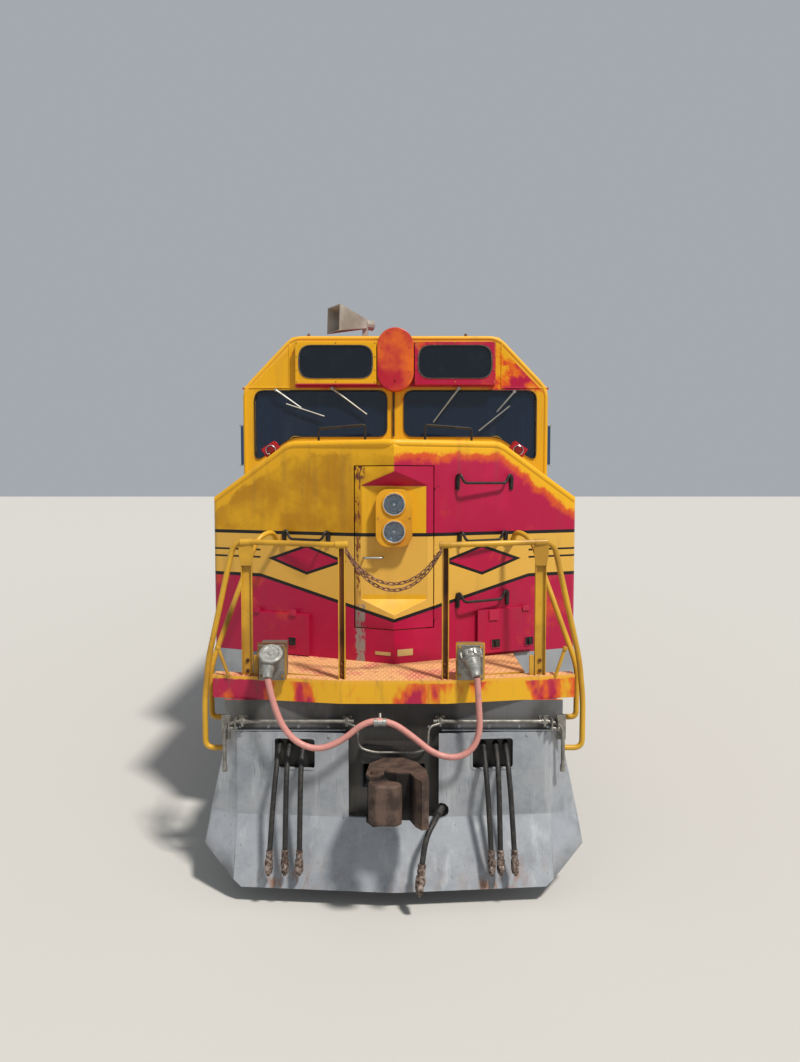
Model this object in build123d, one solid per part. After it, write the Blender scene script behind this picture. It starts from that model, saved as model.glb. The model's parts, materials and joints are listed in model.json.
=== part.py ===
from build123d import *
import math
import os

# A six-axle diesel passenger locomotive with a full-width cowl body, in millimetres.
# The front faces -Y, +X is on the right seen from the front, and +Z is up.
# z = 0 is the tip of the wheel flanges, y = 0 is halfway between the two coupler faces.

os.makedirs("parts", exist_ok=True)

# Driving dimensions. Places at the front end count back from the front coupler's pulling
# face, and places at the rear end count forwards from the rear one's.
COUPLED_LENGTH = 22050
BODY_WIDTH = 3100
BODY_HALF = BODY_WIDTH / 2
REAR = COUPLED_LENGTH / 2
FRONT = -REAR
SIDES = (-1, 1)

# Wheels and axles
FLANGE_DEPTH = 26
WHEEL_R = 508
WHEEL_BACKS = 1356
WHEEL_WIDTH = 138
FLANGE_WIDTH = 30
TREAD_FALL = 3
AXLE_R = 95
JOURNAL_R = 80
JOURNAL_END_X = 1070
JOURNAL_CLEARANCE = 3
WHEEL_SIDES = 28
AXLE_SIDES = 12
AXLE_Z = WHEEL_R + FLANGE_DEPTH
AXLE_OFFSETS = (-2127, 0, 2013)
TRUCK_CENTRE_Y = REAR - 4015

# Body
WALL = 50
INNER_HALF = BODY_HALF - WALL
RING_SIDES = 16
DECK_Z = 1592
DECK_T = 32
UNDER_DECK_Z = DECK_Z - DECK_T
SILL_Z = 1290
SILL_WIDTH = 110
EAVE_Z = 3976
ROOF_Z = 4490
ROOF_FLAT_HALF = BODY_HALF - 500
CAB_FRONT_Y = FRONT + 3156
CAB_REAR_Y = CAB_FRONT_Y + 2269
BODY_REAR_Y = REAR - 595
SEAM = 8
DOOR_GAP = 8

# Nose
NOSE_RIDGE_Y = FRONT + 1095
NOSE_CORNER_Y = NOSE_RIDGE_Y + 655
NOSE_SHOULDER_Z = 2888
NOSE_TOP_Z = 3342
NOSE_FLAT_HALF = BODY_HALF - 680
NOSE_EDGE_R = 60
NOSE_DOOR_HALF = 318
NOSE_DOOR_Z = (1856, 3146)
NOSE_DOOR_BACK = 172
RECESS_HALF = 260
RECESS_DEPTH = 112
RECESS_Z = (2089, 2991)
HOOD_X = BODY_HALF - 530
HOOD_Y = NOSE_CORNER_Y - 25
HOOD_HALF = 65
HOOD_LENGTH = 150
HOOD_H = 105
HOOD_LENS_R = 42
HOOD_POCKET = 15
# Raised hatches low on the nose front as two x values and two z values.
NOSE_HATCHES = ((-1226, -694, 1601, 1936), (678, 1137, 1620, 1976))
NOSE_HATCH_D = 38

# Cab
CAB_FLOOR_Z = 2340
CAB_FLOOR_T = 40
WINDSHIELD_X = (92, BODY_HALF - 115)
WINDSHIELD_SLOPE_X = BODY_HALF - 504
WINDSHIELD_Z = (3486, 3943)
WINDSHIELD_LOW_Z = 3226
WINDSHIELD_SET = 20
SIDE_WINDOW_Z = (3150, 3850)
SIDE_WINDOW_W = 560
SIDE_WINDOW_Y = (CAB_FRONT_Y + 639, CAB_FRONT_Y + 1399)
PASSAGE_HALF = 300
PASSAGE_TOP_Z = 3728
GLASS_T = 12
DEFLECTOR_W = 75
DEFLECTOR_Y = (CAB_FRONT_Y + 169, CAB_FRONT_Y + 189)
DEFLECTOR_Z = (3190, 3600)
SEAT_X = INNER_HALF - 420
SEAT_Y = CAB_FRONT_Y + 1119
SEAT_HALF = 230
SEAT_H = 450
SEAT_T = 110
SEAT_BACK_H = 1050
SEAT_BACK_T = 80
SEAT_POST_HALF = 60
STAND_X = (330 - SEAT_X, 750 - SEAT_X)
STAND_Y = (SEAT_Y - 700, SEAT_Y - 250)
STAND_H = 1050

# Side doors, rear door, grilles and engine
SIDE_DOOR_Y = (CAB_REAR_Y + 310, CAB_REAR_Y + 920)
DOOR_Z = (1640, 3560)
REAR_DOOR_HALF = 305
GRILLE_Y = ((CAB_REAR_Y + 1200, CAB_REAR_Y + 2900), (-900, 900),
            (BODY_REAR_Y - 7530, BODY_REAR_Y - 2930))
GRILLE_Z = (3230, 3900)
GRILLE_FRAME = 40
GRILLE_PITCH = 460
ENGINE_HALF = 560
ENGINE_Y = (-2300, 2700)
ENGINE_TOP_Z = 3800

# Roof machinery
HATCH_Y = (CAB_REAR_Y, CAB_REAR_Y + 3050, BODY_REAR_Y - 7630, BODY_REAR_Y - 2830,
           BODY_REAR_Y - WALL)
FAN_Y = (CAB_REAR_Y + 900, CAB_REAR_Y + 2250, BODY_REAR_Y - 6730, BODY_REAR_Y - 5230,
         BODY_REAR_Y - 3730)
FAN_R = 590
FAN_CLEARANCE = 28
FAN_WELL = 413
FAN_BEAM = 140
FAN_LIFT = 15
FAN_HUB_R = 180
FAN_HUB_H = 100
FAN_HUB_SIDES = 12
FAN_BLADES = 6
FAN_PITCH = 25
FAN_CHORD = 170
FAN_BLADE_T = 8
SHROUD_T = 42
SHROUD_H = 170
FAN_BARS = 3
FAN_BAR = 14
STACK_Y = 200
STACK_HALF = 320
STACK_LEN = 260
STACK_H = 230

# Underframe, jacking pads, tank and air reservoirs
CENTRE_SILL_X = 230
CENTRE_SILL_Z = 1190
CROSSBEARER_Y = (-4300, -3200, -1600, 0, 1600, 3200, 4300)
BOLSTER_HALF = 340
CENTRE_PLATE_R = 300
CENTRE_PLATE_H = 40
POCKET_FRONT = REAR - 709
POCKET_BACK = REAR - 1175
POCKET_Z = 770
JACK_PAD_Y = TRUCK_CENTRE_Y - 1160
JACK_PAD_HALF = 150
JACK_PAD_T = 25
TANK_LENGTH = 6300
TANK_Z = 330
TANK_HALF = BODY_HALF - 180
TANK_NECK_HALF = 800
TANK_SHOULDER_Z = 800
TANK_CHAMFER = 260
RESERVOIR_R = 165
RESERVOIR_X = 1090
RESERVOIR_GAP = 150
RESERVOIR_LENGTH = 2500

# Trucks
FRAME_X = 985
FRAME_T = 110
FRAME_TOP_Z = 1060
FRAME_LOW_Z = 760
ARCH_Z = 860
FRAME_OVERHANG = 310
FRAME_SLOPE = 110
PEDESTAL_OUTER = 265
PEDESTAL_FLARE = 30
PEDESTAL_Z = 420
TRANSOM_HALF = 130
TRANSOM_Z = 850
BEAM_X = 300
BOWL_CLEARANCE = 6
AXLE_BOX_X = 950
AXLE_BOX_T = 200
AXLE_BOX_HALF = 180
AXLE_BOX_TOP = 130
SPRING_Y = 95
SPRING_R = 70
MOTOR_HALF = 560
MOTOR_GAP = 20
MOTOR_NECK = 120
MOTOR_BODY = 180
MOTOR_TOP_Z = 800
MOTOR_Z = 290
BRAKE_R = 75
BRAKE_STANDOFF = 15
BRAKE_LENGTH = 320
BRAKE_Z = 950

# Platform, steps, pilots and couplers
PLATFORM_Y = FRONT + 576
PLATFORM_HALF = BODY_HALF - 209
PLATFORM_SWEEP = 180
PLATFORM_FLAT_HALF = 380
BEAM_H = 169
BEAM_T = 110
STEP_OUTER_X = PLATFORM_HALF - 41
STEP_WELL_X = STEP_OUTER_X - 315
STEP_Y = (FRONT + 855, FRONT + 1235)
STEP_Z = (1240, 900, 560)
PLATE_T = 24
END_PLATE_Y = FRONT + 685
END_PLATE_HALF = PLATFORM_HALF - 101
END_PLATE_LOW_HALF = STEP_WELL_X + 15
PILOT_Y = FRONT + 575
PILOT_Z = (1191, 577, 126)
PILOT_LEAN = 200
PILOT_FLAT_HALF = BODY_HALF - 400
PILOT_HALF = (BODY_HALF - 315, BODY_HALF - 180, BODY_HALF - 125)
PILOT_BOW = 95
PILOT_WING_BACK = 110
PILOT_CORNER = (BODY_HALF - 460, 370)
HOSE_WINDOW_X = (575, 870)
HOSE_WINDOW_Z = (930, 1151)
COUPLER_Z = 902
COUPLER_OPENING_HALF = 328
NOTCH_X = 345
NOTCH_Z = 625
NOTCH_R = 58
REAR_PILOT_HALF = BODY_HALF - 150
REAR_PILOT_Z = (1560, 210)
REAR_PILOT_CORNER = 300
STRIKER_HALF = 230
STRIKER_Z = (985, 1117)
SHANK_HALF = 70
YOKE_LENGTH = 150
KNUCKLE_H = 274
HEAD_H = 330
HEAD_BACK = 465
PIN_R = 26
PIN_REACH = 190
# Coupler outlines in plan: x, and the distance behind the pulling face.
HEAD = ((-70, HEAD_BACK), (-165, 345), (-175, 225), (-60, 210), (20, 175), (110, 175),
        (150, 65), (190, 15), (235, 35), (225, 225), (165, 375), (70, HEAD_BACK))
KNUCKLE = ((-150, 217), (-165, 65), (-113, 0), (25, 0), (62, 40), (45, 85), (-20, 110),
           (-60, 195))
LUG = ((-175, 225), (-182, 150), (-150, 95), (-95, 95), (-62, 150), (-60, 210))
KNUCKLE_PIN = (-122, 150)

# Headlight, number boards, roof cover and loudspeaker
HEADLIGHT_Z = 2737
HEADLIGHT_H = 450
HEADLIGHT_W = 284
HEADLIGHT_D = 96
HEADLIGHT_CORNER_R = 95
LAMP_Z = (2844, 2630)
LAMP_R = 98
BOARD_X = (194, ROOF_FLAT_HALF - 38)
BOARD_Z = (3997, 4427)
BOARD_D = 90
BOARD_RIM = 30
BOARD_SILL = 60
BOARD_POCKET = 15
BOARD_CORNER_R = 55
OVAL_Z = 4251
OVAL_H = 640
OVAL_W = 370
OVAL_D = 100
HORN_MOUTH = (-640, CAB_FRONT_Y + 109, 4690)
HORN_AXIS = (-0.84, -0.54, 0.04)
HORN_LENGTH = 380
HORN_THROAT = 90
HORN_W = 270
HORN_WALL = 12
HORN_DRIVER_R = 54
HORN_FOOT_HALF = 30

# Posts, rails, grab irons, ladders and gate chain
BAR_SIDES = 6
INNER_POST_X = 373
INNER_POST_HALF = (25, 20)
CORNER_POST_X = PLATFORM_HALF - 261
CORNER_POST_HALF = (40, 12)
RAIL_Y = FRONT + 620
POST_SET = 130
RAIL_TOP_Z = 2565
RAIL_R = 22
RAIL_BEND = 70
# Rails as x, the distance behind the pulling face, and z.
OUTER_RAIL = ((INNER_POST_X, 620, RAIL_TOP_Z), (PLATFORM_HALF - 166, 763, 2580),
              (PLATFORM_HALF + 36, 775, 1700), (PLATFORM_HALF + 67, 780, 1400),
              (PLATFORM_HALF + 69, 792, 1030), (PLATFORM_HALF - 63, 792, 1030))
STEP_RAIL = ((STEP_WELL_X - 20, 1505, 2505), (STEP_WELL_X, 1345, 2625),
             (STEP_WELL_X + 100, 1235, 2570), (STEP_OUTER_X + 89, 905, 1618),
             (STEP_OUTER_X + 89, 915, 1228), (STEP_OUTER_X, 915, 1228))
GRAB_R = 12
GRAB_BEND = 30
GRAB_OUT = 75
# Grab irons on the nose front as two x values and z.
NOSE_GRABS = ((504, STEP_WELL_X - 27, 3040), (508, STEP_WELL_X - 55, 2090),
              (82 - STEP_WELL_X, -528, 2585), (522, STEP_WELL_X - 72, 2580))
TOP_RAIL_X = (280, 715)
TOP_RAIL_Y = FRONT + 2425
TOP_RAIL_H = 120
DOOR_GRAB_Z = (1750, 2900)
DOOR_GRAB_GAP = 110
REAR_GRAB_X = 430
LADDER_Z = 420
LADDER_RUNG_T = 30
LADDER_RUNGS = 3
CHAIN_PITCH = 46
CHAIN_LINK = (62, 34, 7)
CHAIN_ROLL = 45
CHAIN_Z = 2535
CHAIN_SAG = 330
LEVER_Z = 1275
LEVER_Y = END_PLATE_Y - 45
LEVER_X = (290, PLATFORM_HALF - 191)
LEVER_R = 16
LEVER_DROP = 40
LEVER_BRACKET = (24, 32)
LEVER_HANDLE = (PLATFORM_HALF - 106, 920)

# Receptacles, jumper cable and air hoses
RECEPTACLE_X = (205 - CORNER_POST_X, 552)
RECEPTACLE_HALF = 92
RECEPTACLE_Y = FRONT + 585
RECEPTACLE_SEAT = 100
RECEPTACLE_Z = (DECK_Z, 1850)
PLUG_R = 55
PLUG_BODY_R = 44
PLUG_TIP_R = 30
HOSE_SIDES = 6
JUMPER_D = 45
JUMPER_Y = FRONT + 466
JUMPER = ((-887, 1640), (-850, 1440), (-745, 1215), (-560, 1115), (-370, 1180), (-200, 1330),
          (-20, 1330), (140, 1215), (275, 1100), (425, 1058), (552, 1110), (612, 1240),
          (604, 1430), (590, 1640))
CLAMP_X = -80
CLAMP_W = 90
MU_HOSE_D = 38
MU_TOPS = (-836, -764, -663, 658, 748, 820)
MU_ENDS = (-876, -766, -664, 692, 756, 855)
# Air hoses as the distance behind the pulling face and z; the brake hose has its x first.
MU_ROUTE = ((663, 1090), (581, 1043), (503, 935), (469, 790), (397, 370))
MU_COUPLING = 140
NIPPLE_R = 23
BRAKE_HOSE_D = 40
BRAKE_HOSE = ((317, 525, 625), (287, 435, 612), (235, 365, 545), (206, 315, 430),
              (192, 280, 310))
BRAKE_COUPLING = 165
ELBOW_R = 27
COUPLING_R = 32


def box(x, y, z):
    """A block between two x, two y and two z values, given in either order."""
    size = [abs(b - a) for a, b in (x, y, z)]
    return Pos(*[(a + b) / 2 for a, b in (x, y, z)]) * Box(*size)


def flip(x0, x1, side):
    """Two x values on the right (side 1) or their mirror images on the left (side -1)."""
    return (x0 * side, x1 * side)


def prism_y(points, y0, y1):
    """An outline of (x, z) points carried along Y."""
    plane = Plane(origin=(0, y0, 0), x_dir=(1, 0, 0), z_dir=(0, -1, 0))
    return extrude(plane * make_face(Polyline(*points, close=True)), amount=-(y1 - y0))


def prism_x(points, x0, x1):
    """An outline of (y, z) points carried along X."""
    plane = Plane(origin=(x0, 0, 0), x_dir=(0, 1, 0), z_dir=(1, 0, 0))
    return extrude(plane * make_face(Polyline(*points, close=True)), amount=x1 - x0)


def prism_z(points, z0, z1):
    """An outline of (x, y) points carried along Z."""
    plane = Plane(origin=(0, 0, z0))
    return extrude(plane * make_face(Polyline(*points, close=True)), amount=z1 - z0)


def mirrored(points):
    """A half outline of (x, other) points, with its mirror image added in reverse."""
    return list(points) + [(-x, v) for x, v in reversed(points)]


def stub(start, end, radius, sides=8):
    """A bar with flat sides, for pieces that need few faces."""
    axis = Vector(*end) - Vector(*start)
    plane = Plane(origin=start, z_dir=axis)
    return extrude(plane * RegularPolygon(radius, sides), amount=axis.length)


def behind_face(route, side=1):
    """Points of a table of x, distance behind the front pulling face and z, as real points."""
    return [(side * x, FRONT + back, z) for x, back, z in route]


def bent_bar(points, radius, bend):
    """A handrail or grab iron: flat-sided bar whose bends are short slanting runs."""
    route = [Vector(*points[0])]
    for before, corner, after in zip(points, points[1:], points[2:]):
        corner = Vector(*corner)
        for other in (before, after):
            route.append(corner + (Vector(*other) - corner).normalized() * bend)
    route.append(Vector(*points[-1]))
    path = Polyline(*route)
    start = Plane(origin=path @ 0, z_dir=path % 0)
    return sweep(start * RegularPolygon(radius, BAR_SIDES), path=path, transition=Transition.RIGHT)


def hose(name, points, diameter):
    """A six-sided hose on straight runs joined by arcs, each as large as its two runs allow."""
    radii = []
    for a, b, c in zip(points, points[1:], points[2:]):
        before = Vector(*b) - Vector(*a)
        after = Vector(*c) - Vector(*b)
        half_turn = math.radians(before.get_angle(after)) / 2
        radii.append(0.45 * min(before.length, after.length) / math.tan(half_turn))
    path = FilletPolyline(*points, radius=radii)
    start = Plane(origin=path @ 0, z_dir=path % 0)
    section = RegularPolygon(diameter / 2, HOSE_SIDES)
    tube = sweep(start * section, path=path)
    expected = section.area * path.length
    print(name, "length", round(path.length), "radii", [round(r) for r in radii],
          "volume ratio", round(tube.volume / expected, 4))
    return tube


def save(node, *solids):
    """One STEP file per node; several solids in a node don't touch."""
    shapes = [s for shape in solids for s in shape.solids()]
    export_step(shapes[0] if len(shapes) == 1 else Compound(shapes), f"parts/{node}.step")


def outer_ring(outer, inner):
    """A closed band: the outer outline from right to left, then the inner one back."""
    return (outer + [(-x, z) for x, z in reversed(outer)]
            + [(-x, z) for x, z in inner[::-1]] + inner)


def roof_trough(y0, y1):
    """A roof section: chamfered edges and flat top, open below."""
    slope = (ROOF_Z - EAVE_Z) / (BODY_HALF - ROOF_FLAT_HALF)
    top = ROOF_Z - WALL
    flat = ROOF_FLAT_HALF - WALL * math.tan(math.atan(slope) / 2)
    outer = [(BODY_HALF, EAVE_Z), (ROOF_FLAT_HALF, ROOF_Z)]
    inner = [(flat, top), (flat + (top - EAVE_Z) / slope, EAVE_Z)]
    return prism_y(outer_ring(outer, inner), y0, y1)


def nose_block(inset, top_inset):
    """The nose as a solid: a V in plan under sloping shoulders."""
    slant = math.atan2(NOSE_CORNER_Y - NOSE_RIDGE_Y, BODY_HALF)
    half = BODY_HALF - inset
    ridge = NOSE_RIDGE_Y + inset / math.cos(slant)
    corner = ridge + half * math.tan(slant)
    plan = prism_z([(half, CAB_FRONT_Y), (half, corner), (0, ridge), (-half, corner),
                    (-half, CAB_FRONT_Y)], DECK_Z, NOSE_TOP_Z)
    fall = math.atan2(NOSE_TOP_Z - NOSE_SHOULDER_Z, BODY_HALF - NOSE_FLAT_HALF)
    top = NOSE_TOP_Z - top_inset
    flat = NOSE_FLAT_HALF - top_inset * math.tan(fall / 2)
    shoulder = top - (half - flat) * math.tan(fall)
    front = prism_y(mirrored([(half, DECK_Z), (half, shoulder), (flat, top)]),
                    NOSE_RIDGE_Y - WALL, CAB_FRONT_Y)
    return plan & front


def nose_front_y(x):
    """Where the nose's front face is at a distance x from the middle."""
    return NOSE_RIDGE_Y + abs(x) * (NOSE_CORNER_Y - NOSE_RIDGE_Y) / BODY_HALF


def build_nose():
    """Hollow nose with its door opening, lamp hoods on the shoulders and two low hatches."""
    outer = nose_block(0, 0)
    front_edges = [e for e in outer.edges()
                   if e.center().Y < NOSE_CORNER_Y + 1 and e.center().Z > DECK_Z + 1
                   and abs(e.center().X) > 1]
    outer = fillet(front_edges, NOSE_EDGE_R)
    shell = outer - nose_block(WALL, WALL)
    opening = box((-NOSE_DOOR_HALF, NOSE_DOOR_HALF),
                  (NOSE_RIDGE_Y - WALL, NOSE_RIDGE_Y + 6 * WALL), NOSE_DOOR_Z)
    shell -= opening
    fall = math.degrees(math.atan2(NOSE_TOP_Z - NOSE_SHOULDER_Z, BODY_HALF - NOSE_FLAT_HALF))
    z = NOSE_TOP_Z - (HOOD_X - NOSE_FLAT_HALF) * math.tan(math.radians(fall))
    for side in SIDES:
        hood = box((-HOOD_HALF, HOOD_HALF), (0, HOOD_LENGTH), (-WALL / 2, HOOD_H))
        hood -= stub((0, -1, HOOD_H / 2), (0, HOOD_POCKET, HOOD_H / 2), HOOD_LENS_R)
        shell += Pos(side * HOOD_X, HOOD_Y, z) * Rot(0, side * fall, 0) * hood
    for x0, x1, z0, z1 in NOSE_HATCHES:
        y0, y1 = nose_front_y(x0), nose_front_y(x1)
        shell += prism_z([(x0, y0 + WALL / 2), (x1, y1 + WALL / 2), (x1, y1 - NOSE_HATCH_D),
                          (x0, y0 - NOSE_HATCH_D)], z0, z1)
    return shell


def build_nose_door():
    """V-fronted door leaf with a flat recess that has sloping ends."""
    front = nose_block(0, 0)
    half = NOSE_DOOR_HALF - DOOR_GAP
    leaf = front & box((-half, half), (NOSE_RIDGE_Y - WALL, NOSE_RIDGE_Y + NOSE_DOOR_BACK),
                       (NOSE_DOOR_Z[0] + DOOR_GAP, NOSE_DOOR_Z[1] - DOOR_GAP))
    plane_y = NOSE_RIDGE_Y + RECESS_DEPTH
    reach = RECESS_DEPTH + WALL
    recess = prism_x([(plane_y, RECESS_Z[0]), (plane_y, RECESS_Z[1]),
                      (plane_y - reach, RECESS_Z[1] + reach),
                      (plane_y - reach, RECESS_Z[0] - reach)], -RECESS_HALF, RECESS_HALF)
    return leaf - recess


def wall_plate(y0, y1):
    """A bulkhead with the outline of the body."""
    return prism_y(mirrored([(BODY_HALF, DECK_Z), (BODY_HALF, EAVE_Z),
                             (ROOF_FLAT_HALF, ROOF_Z)]), y0, y1)


def windshield(side, y0, y1):
    """One five-sided windshield outline carried along Y."""
    x0, x1 = WINDSHIELD_X
    z0, z1 = WINDSHIELD_Z
    points = [(x0, z0), (WINDSHIELD_SLOPE_X, z0), (x1, WINDSHIELD_LOW_Z), (x1, z1), (x0, z1)]
    return prism_y([(x * side, z) for x, z in points], y0, y1)


def build_cab():
    """Front wall, side walls, roof, rear wall, floor and panes."""
    front = wall_plate(CAB_FRONT_Y, CAB_FRONT_Y + WALL)
    for side in SIDES:
        front -= windshield(side, CAB_FRONT_Y - WALL, CAB_FRONT_Y + 2 * WALL)
    front -= box((-PASSAGE_HALF, PASSAGE_HALF), (CAB_FRONT_Y - WALL, CAB_FRONT_Y + 2 * WALL),
                 (DECK_Z, CAB_FLOOR_Z - CAB_FLOOR_T - WALL))
    save("cab_front_wall", front)
    walls = []
    panes = []
    for side in SIDES:
        wall = box(flip(INNER_HALF, BODY_HALF, side), (CAB_FRONT_Y + WALL, CAB_REAR_Y),
                   (DECK_Z, EAVE_Z))
        for y in SIDE_WINDOW_Y:
            reach = (y - SIDE_WINDOW_W / 2, y + SIDE_WINDOW_W / 2)
            wall -= box(flip(INNER_HALF - WALL, BODY_HALF + WALL, side), reach, SIDE_WINDOW_Z)
            middle = BODY_HALF - WALL / 2
            panes.append(box(flip(middle, middle + GLASS_T, side), reach, SIDE_WINDOW_Z))
        walls.append(wall)
        pane_y = CAB_FRONT_Y + WINDSHIELD_SET
        panes.append(windshield(side, pane_y, pane_y + GLASS_T))
        panes.append(box(flip(BODY_HALF, BODY_HALF + DEFLECTOR_W, side), DEFLECTOR_Y,
                         DEFLECTOR_Z))
    save("cab_side_walls", *walls)
    save("cab_glass", *panes)
    save("cab_roof", roof_trough(CAB_FRONT_Y + WALL, CAB_REAR_Y))
    inner_y = (CAB_FRONT_Y + WALL, CAB_REAR_Y - WALL)
    floor = box((-INNER_HALF, INNER_HALF), inner_y, (CAB_FLOOR_Z - CAB_FLOOR_T, CAB_FLOOR_Z))
    for y in (CAB_FRONT_Y + WALL, (CAB_FRONT_Y + CAB_REAR_Y) / 2):
        floor += box((-INNER_HALF, INNER_HALF), (y, y + WALL), (DECK_Z, CAB_FLOOR_Z))
    floor -= box((-PASSAGE_HALF, PASSAGE_HALF), (CAB_FRONT_Y, CAB_FRONT_Y + 2 * WALL),
                 (DECK_Z - 1, CAB_FLOOR_Z - CAB_FLOOR_T - WALL))
    save("cab_floor", floor)


def build_body():
    """Cowl behind the cab: side walls, grilles, roof hatches, rear walls, doors and engine."""
    side_walls = []
    grilles = []
    for side in SIDES:
        wall = box(flip(INNER_HALF, BODY_HALF, side), (CAB_REAR_Y, BODY_REAR_Y - WALL),
                   (DECK_Z, EAVE_Z))
        through = flip(INNER_HALF - WALL, BODY_HALF + WALL, side)
        wall -= box(through, SIDE_DOOR_Y, DOOR_Z)
        for y0, y1 in GRILLE_Y:
            wall -= box(through, (y0, y1), GRILLE_Z)
            grilles.append(build_grille(y0, y1, side))
        side_walls.append(wall)
        name = "right_side_door" if side > 0 else "left_side_door"
        save(name, box(flip(INNER_HALF, BODY_HALF, side),
                       (SIDE_DOOR_Y[0] + DOOR_GAP, SIDE_DOOR_Y[1] - DOOR_GAP),
                       (DOOR_Z[0] + DOOR_GAP, DOOR_Z[1] - DOOR_GAP)))
    save("side_walls", *side_walls)
    save("side_grilles", *grilles)
    rear = wall_plate(BODY_REAR_Y - WALL, BODY_REAR_Y)
    rear -= box((-REAR_DOOR_HALF, REAR_DOOR_HALF), (BODY_REAR_Y - 2 * WALL, BODY_REAR_Y + WALL),
                DOOR_Z)
    half = PASSAGE_HALF
    bulkhead = box((-INNER_HALF, INNER_HALF), (CAB_REAR_Y - WALL, CAB_REAR_Y),
                   (DECK_Z, EAVE_Z))
    bulkhead -= box((-half, half), (CAB_REAR_Y - 2 * WALL, CAB_REAR_Y + WALL),
                    (CAB_FLOOR_Z, PASSAGE_TOP_Z))
    save("rear_walls", rear, bulkhead)
    leaf = REAR_DOOR_HALF - DOOR_GAP
    save("rear_door", box((-leaf, leaf), (BODY_REAR_Y - WALL, BODY_REAR_Y),
                          (DOOR_Z[0] + DOOR_GAP, DOOR_Z[1] - DOOR_GAP)))
    save("engine_block", box((-ENGINE_HALF, ENGINE_HALF), ENGINE_Y, (DECK_Z, ENGINE_TOP_Z)))


def build_grille(y0, y1, side):
    """An air intake: a frame round upright slats."""
    middle = BODY_HALF - WALL / 2
    grille = box(flip(middle, BODY_HALF, side), (y0, y1), GRILLE_Z)
    inner_z = (GRILLE_Z[0] + GRILLE_FRAME, GRILLE_Z[1] - GRILLE_FRAME)
    count = round((y1 - y0) / GRILLE_PITCH)
    pitch = (y1 - y0 - GRILLE_FRAME) / count
    for i in range(count):
        start = y0 + GRILLE_FRAME + i * pitch
        grille -= box(flip(middle - 1, BODY_HALF + 1, side),
                      (start, start + pitch - GRILLE_FRAME), inner_z)
    return grille


def build_roof():
    """Roof hatches with their fan openings, exhaust stack, fan shrouds and fans."""
    hatches = []
    for y0, y1 in zip(HATCH_Y, HATCH_Y[1:]):
        hatch = roof_trough(y0 + SEAM, y1)
        for y in FAN_Y:
            if y0 < y < y1:
                for part in SIDES:
                    reach = (y + part * FAN_BEAM / 2, y + part * FAN_WELL)
                    hatch -= box((-FAN_WELL, FAN_WELL), reach, (ROOF_Z - 2 * WALL, ROOF_Z + WALL))
        if y0 < STACK_Y < y1:
            outer = box((-STACK_HALF, STACK_HALF), (STACK_Y - STACK_LEN, STACK_Y + STACK_LEN),
                        (ROOF_Z - WALL, ROOF_Z + STACK_H))
            inner = box((-STACK_HALF + WALL, STACK_HALF - WALL),
                        (STACK_Y - STACK_LEN + WALL, STACK_Y + STACK_LEN - WALL),
                        (ROOF_Z - WALL, ROOF_Z + STACK_H + 1))
            hatch = hatch + outer - inner
        hatches.append(hatch)
    save("roof_hatches", *hatches)
    shrouds = []
    inside = FAN_R + FAN_CLEARANCE
    for index, y in enumerate(FAN_Y, 1):
        base = Plane(origin=(0, y, ROOF_Z))
        wall = RegularPolygon(inside + SHROUD_T, RING_SIDES) - RegularPolygon(inside, RING_SIDES)
        ring = extrude(base * wall, amount=SHROUD_H)
        for turn in range(FAN_BARS):
            bar = Pos(0, 0, SHROUD_H - FAN_BAR / 2) * Rot(0, 0, 180 * turn / FAN_BARS) * Box(
                2 * inside + SHROUD_T, FAN_BAR, FAN_BAR)
            ring += Pos(0, y, ROOF_Z) * bar
        shrouds.append(ring)
        hub = Pos(0, y, ROOF_Z + FAN_LIFT) * extrude(RegularPolygon(FAN_HUB_R, FAN_HUB_SIDES),
                                                     amount=FAN_HUB_H)
        for turn in range(FAN_BLADES):
            length = FAN_R - FAN_HUB_R / 2
            blade = Rot(0, 0, 360 * turn / FAN_BLADES) * Pos(FAN_HUB_R / 2 + length / 2, 0, 0)
            blade = blade * Rot(FAN_PITCH, 0, 0) * Box(length, FAN_CHORD, FAN_BLADE_T)
            hub += Pos(0, y, ROOF_Z + FAN_LIFT + FAN_HUB_H / 2) * blade
        save(f"fan_{index}", hub)
    save("fan_shrouds", *shrouds)


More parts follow.
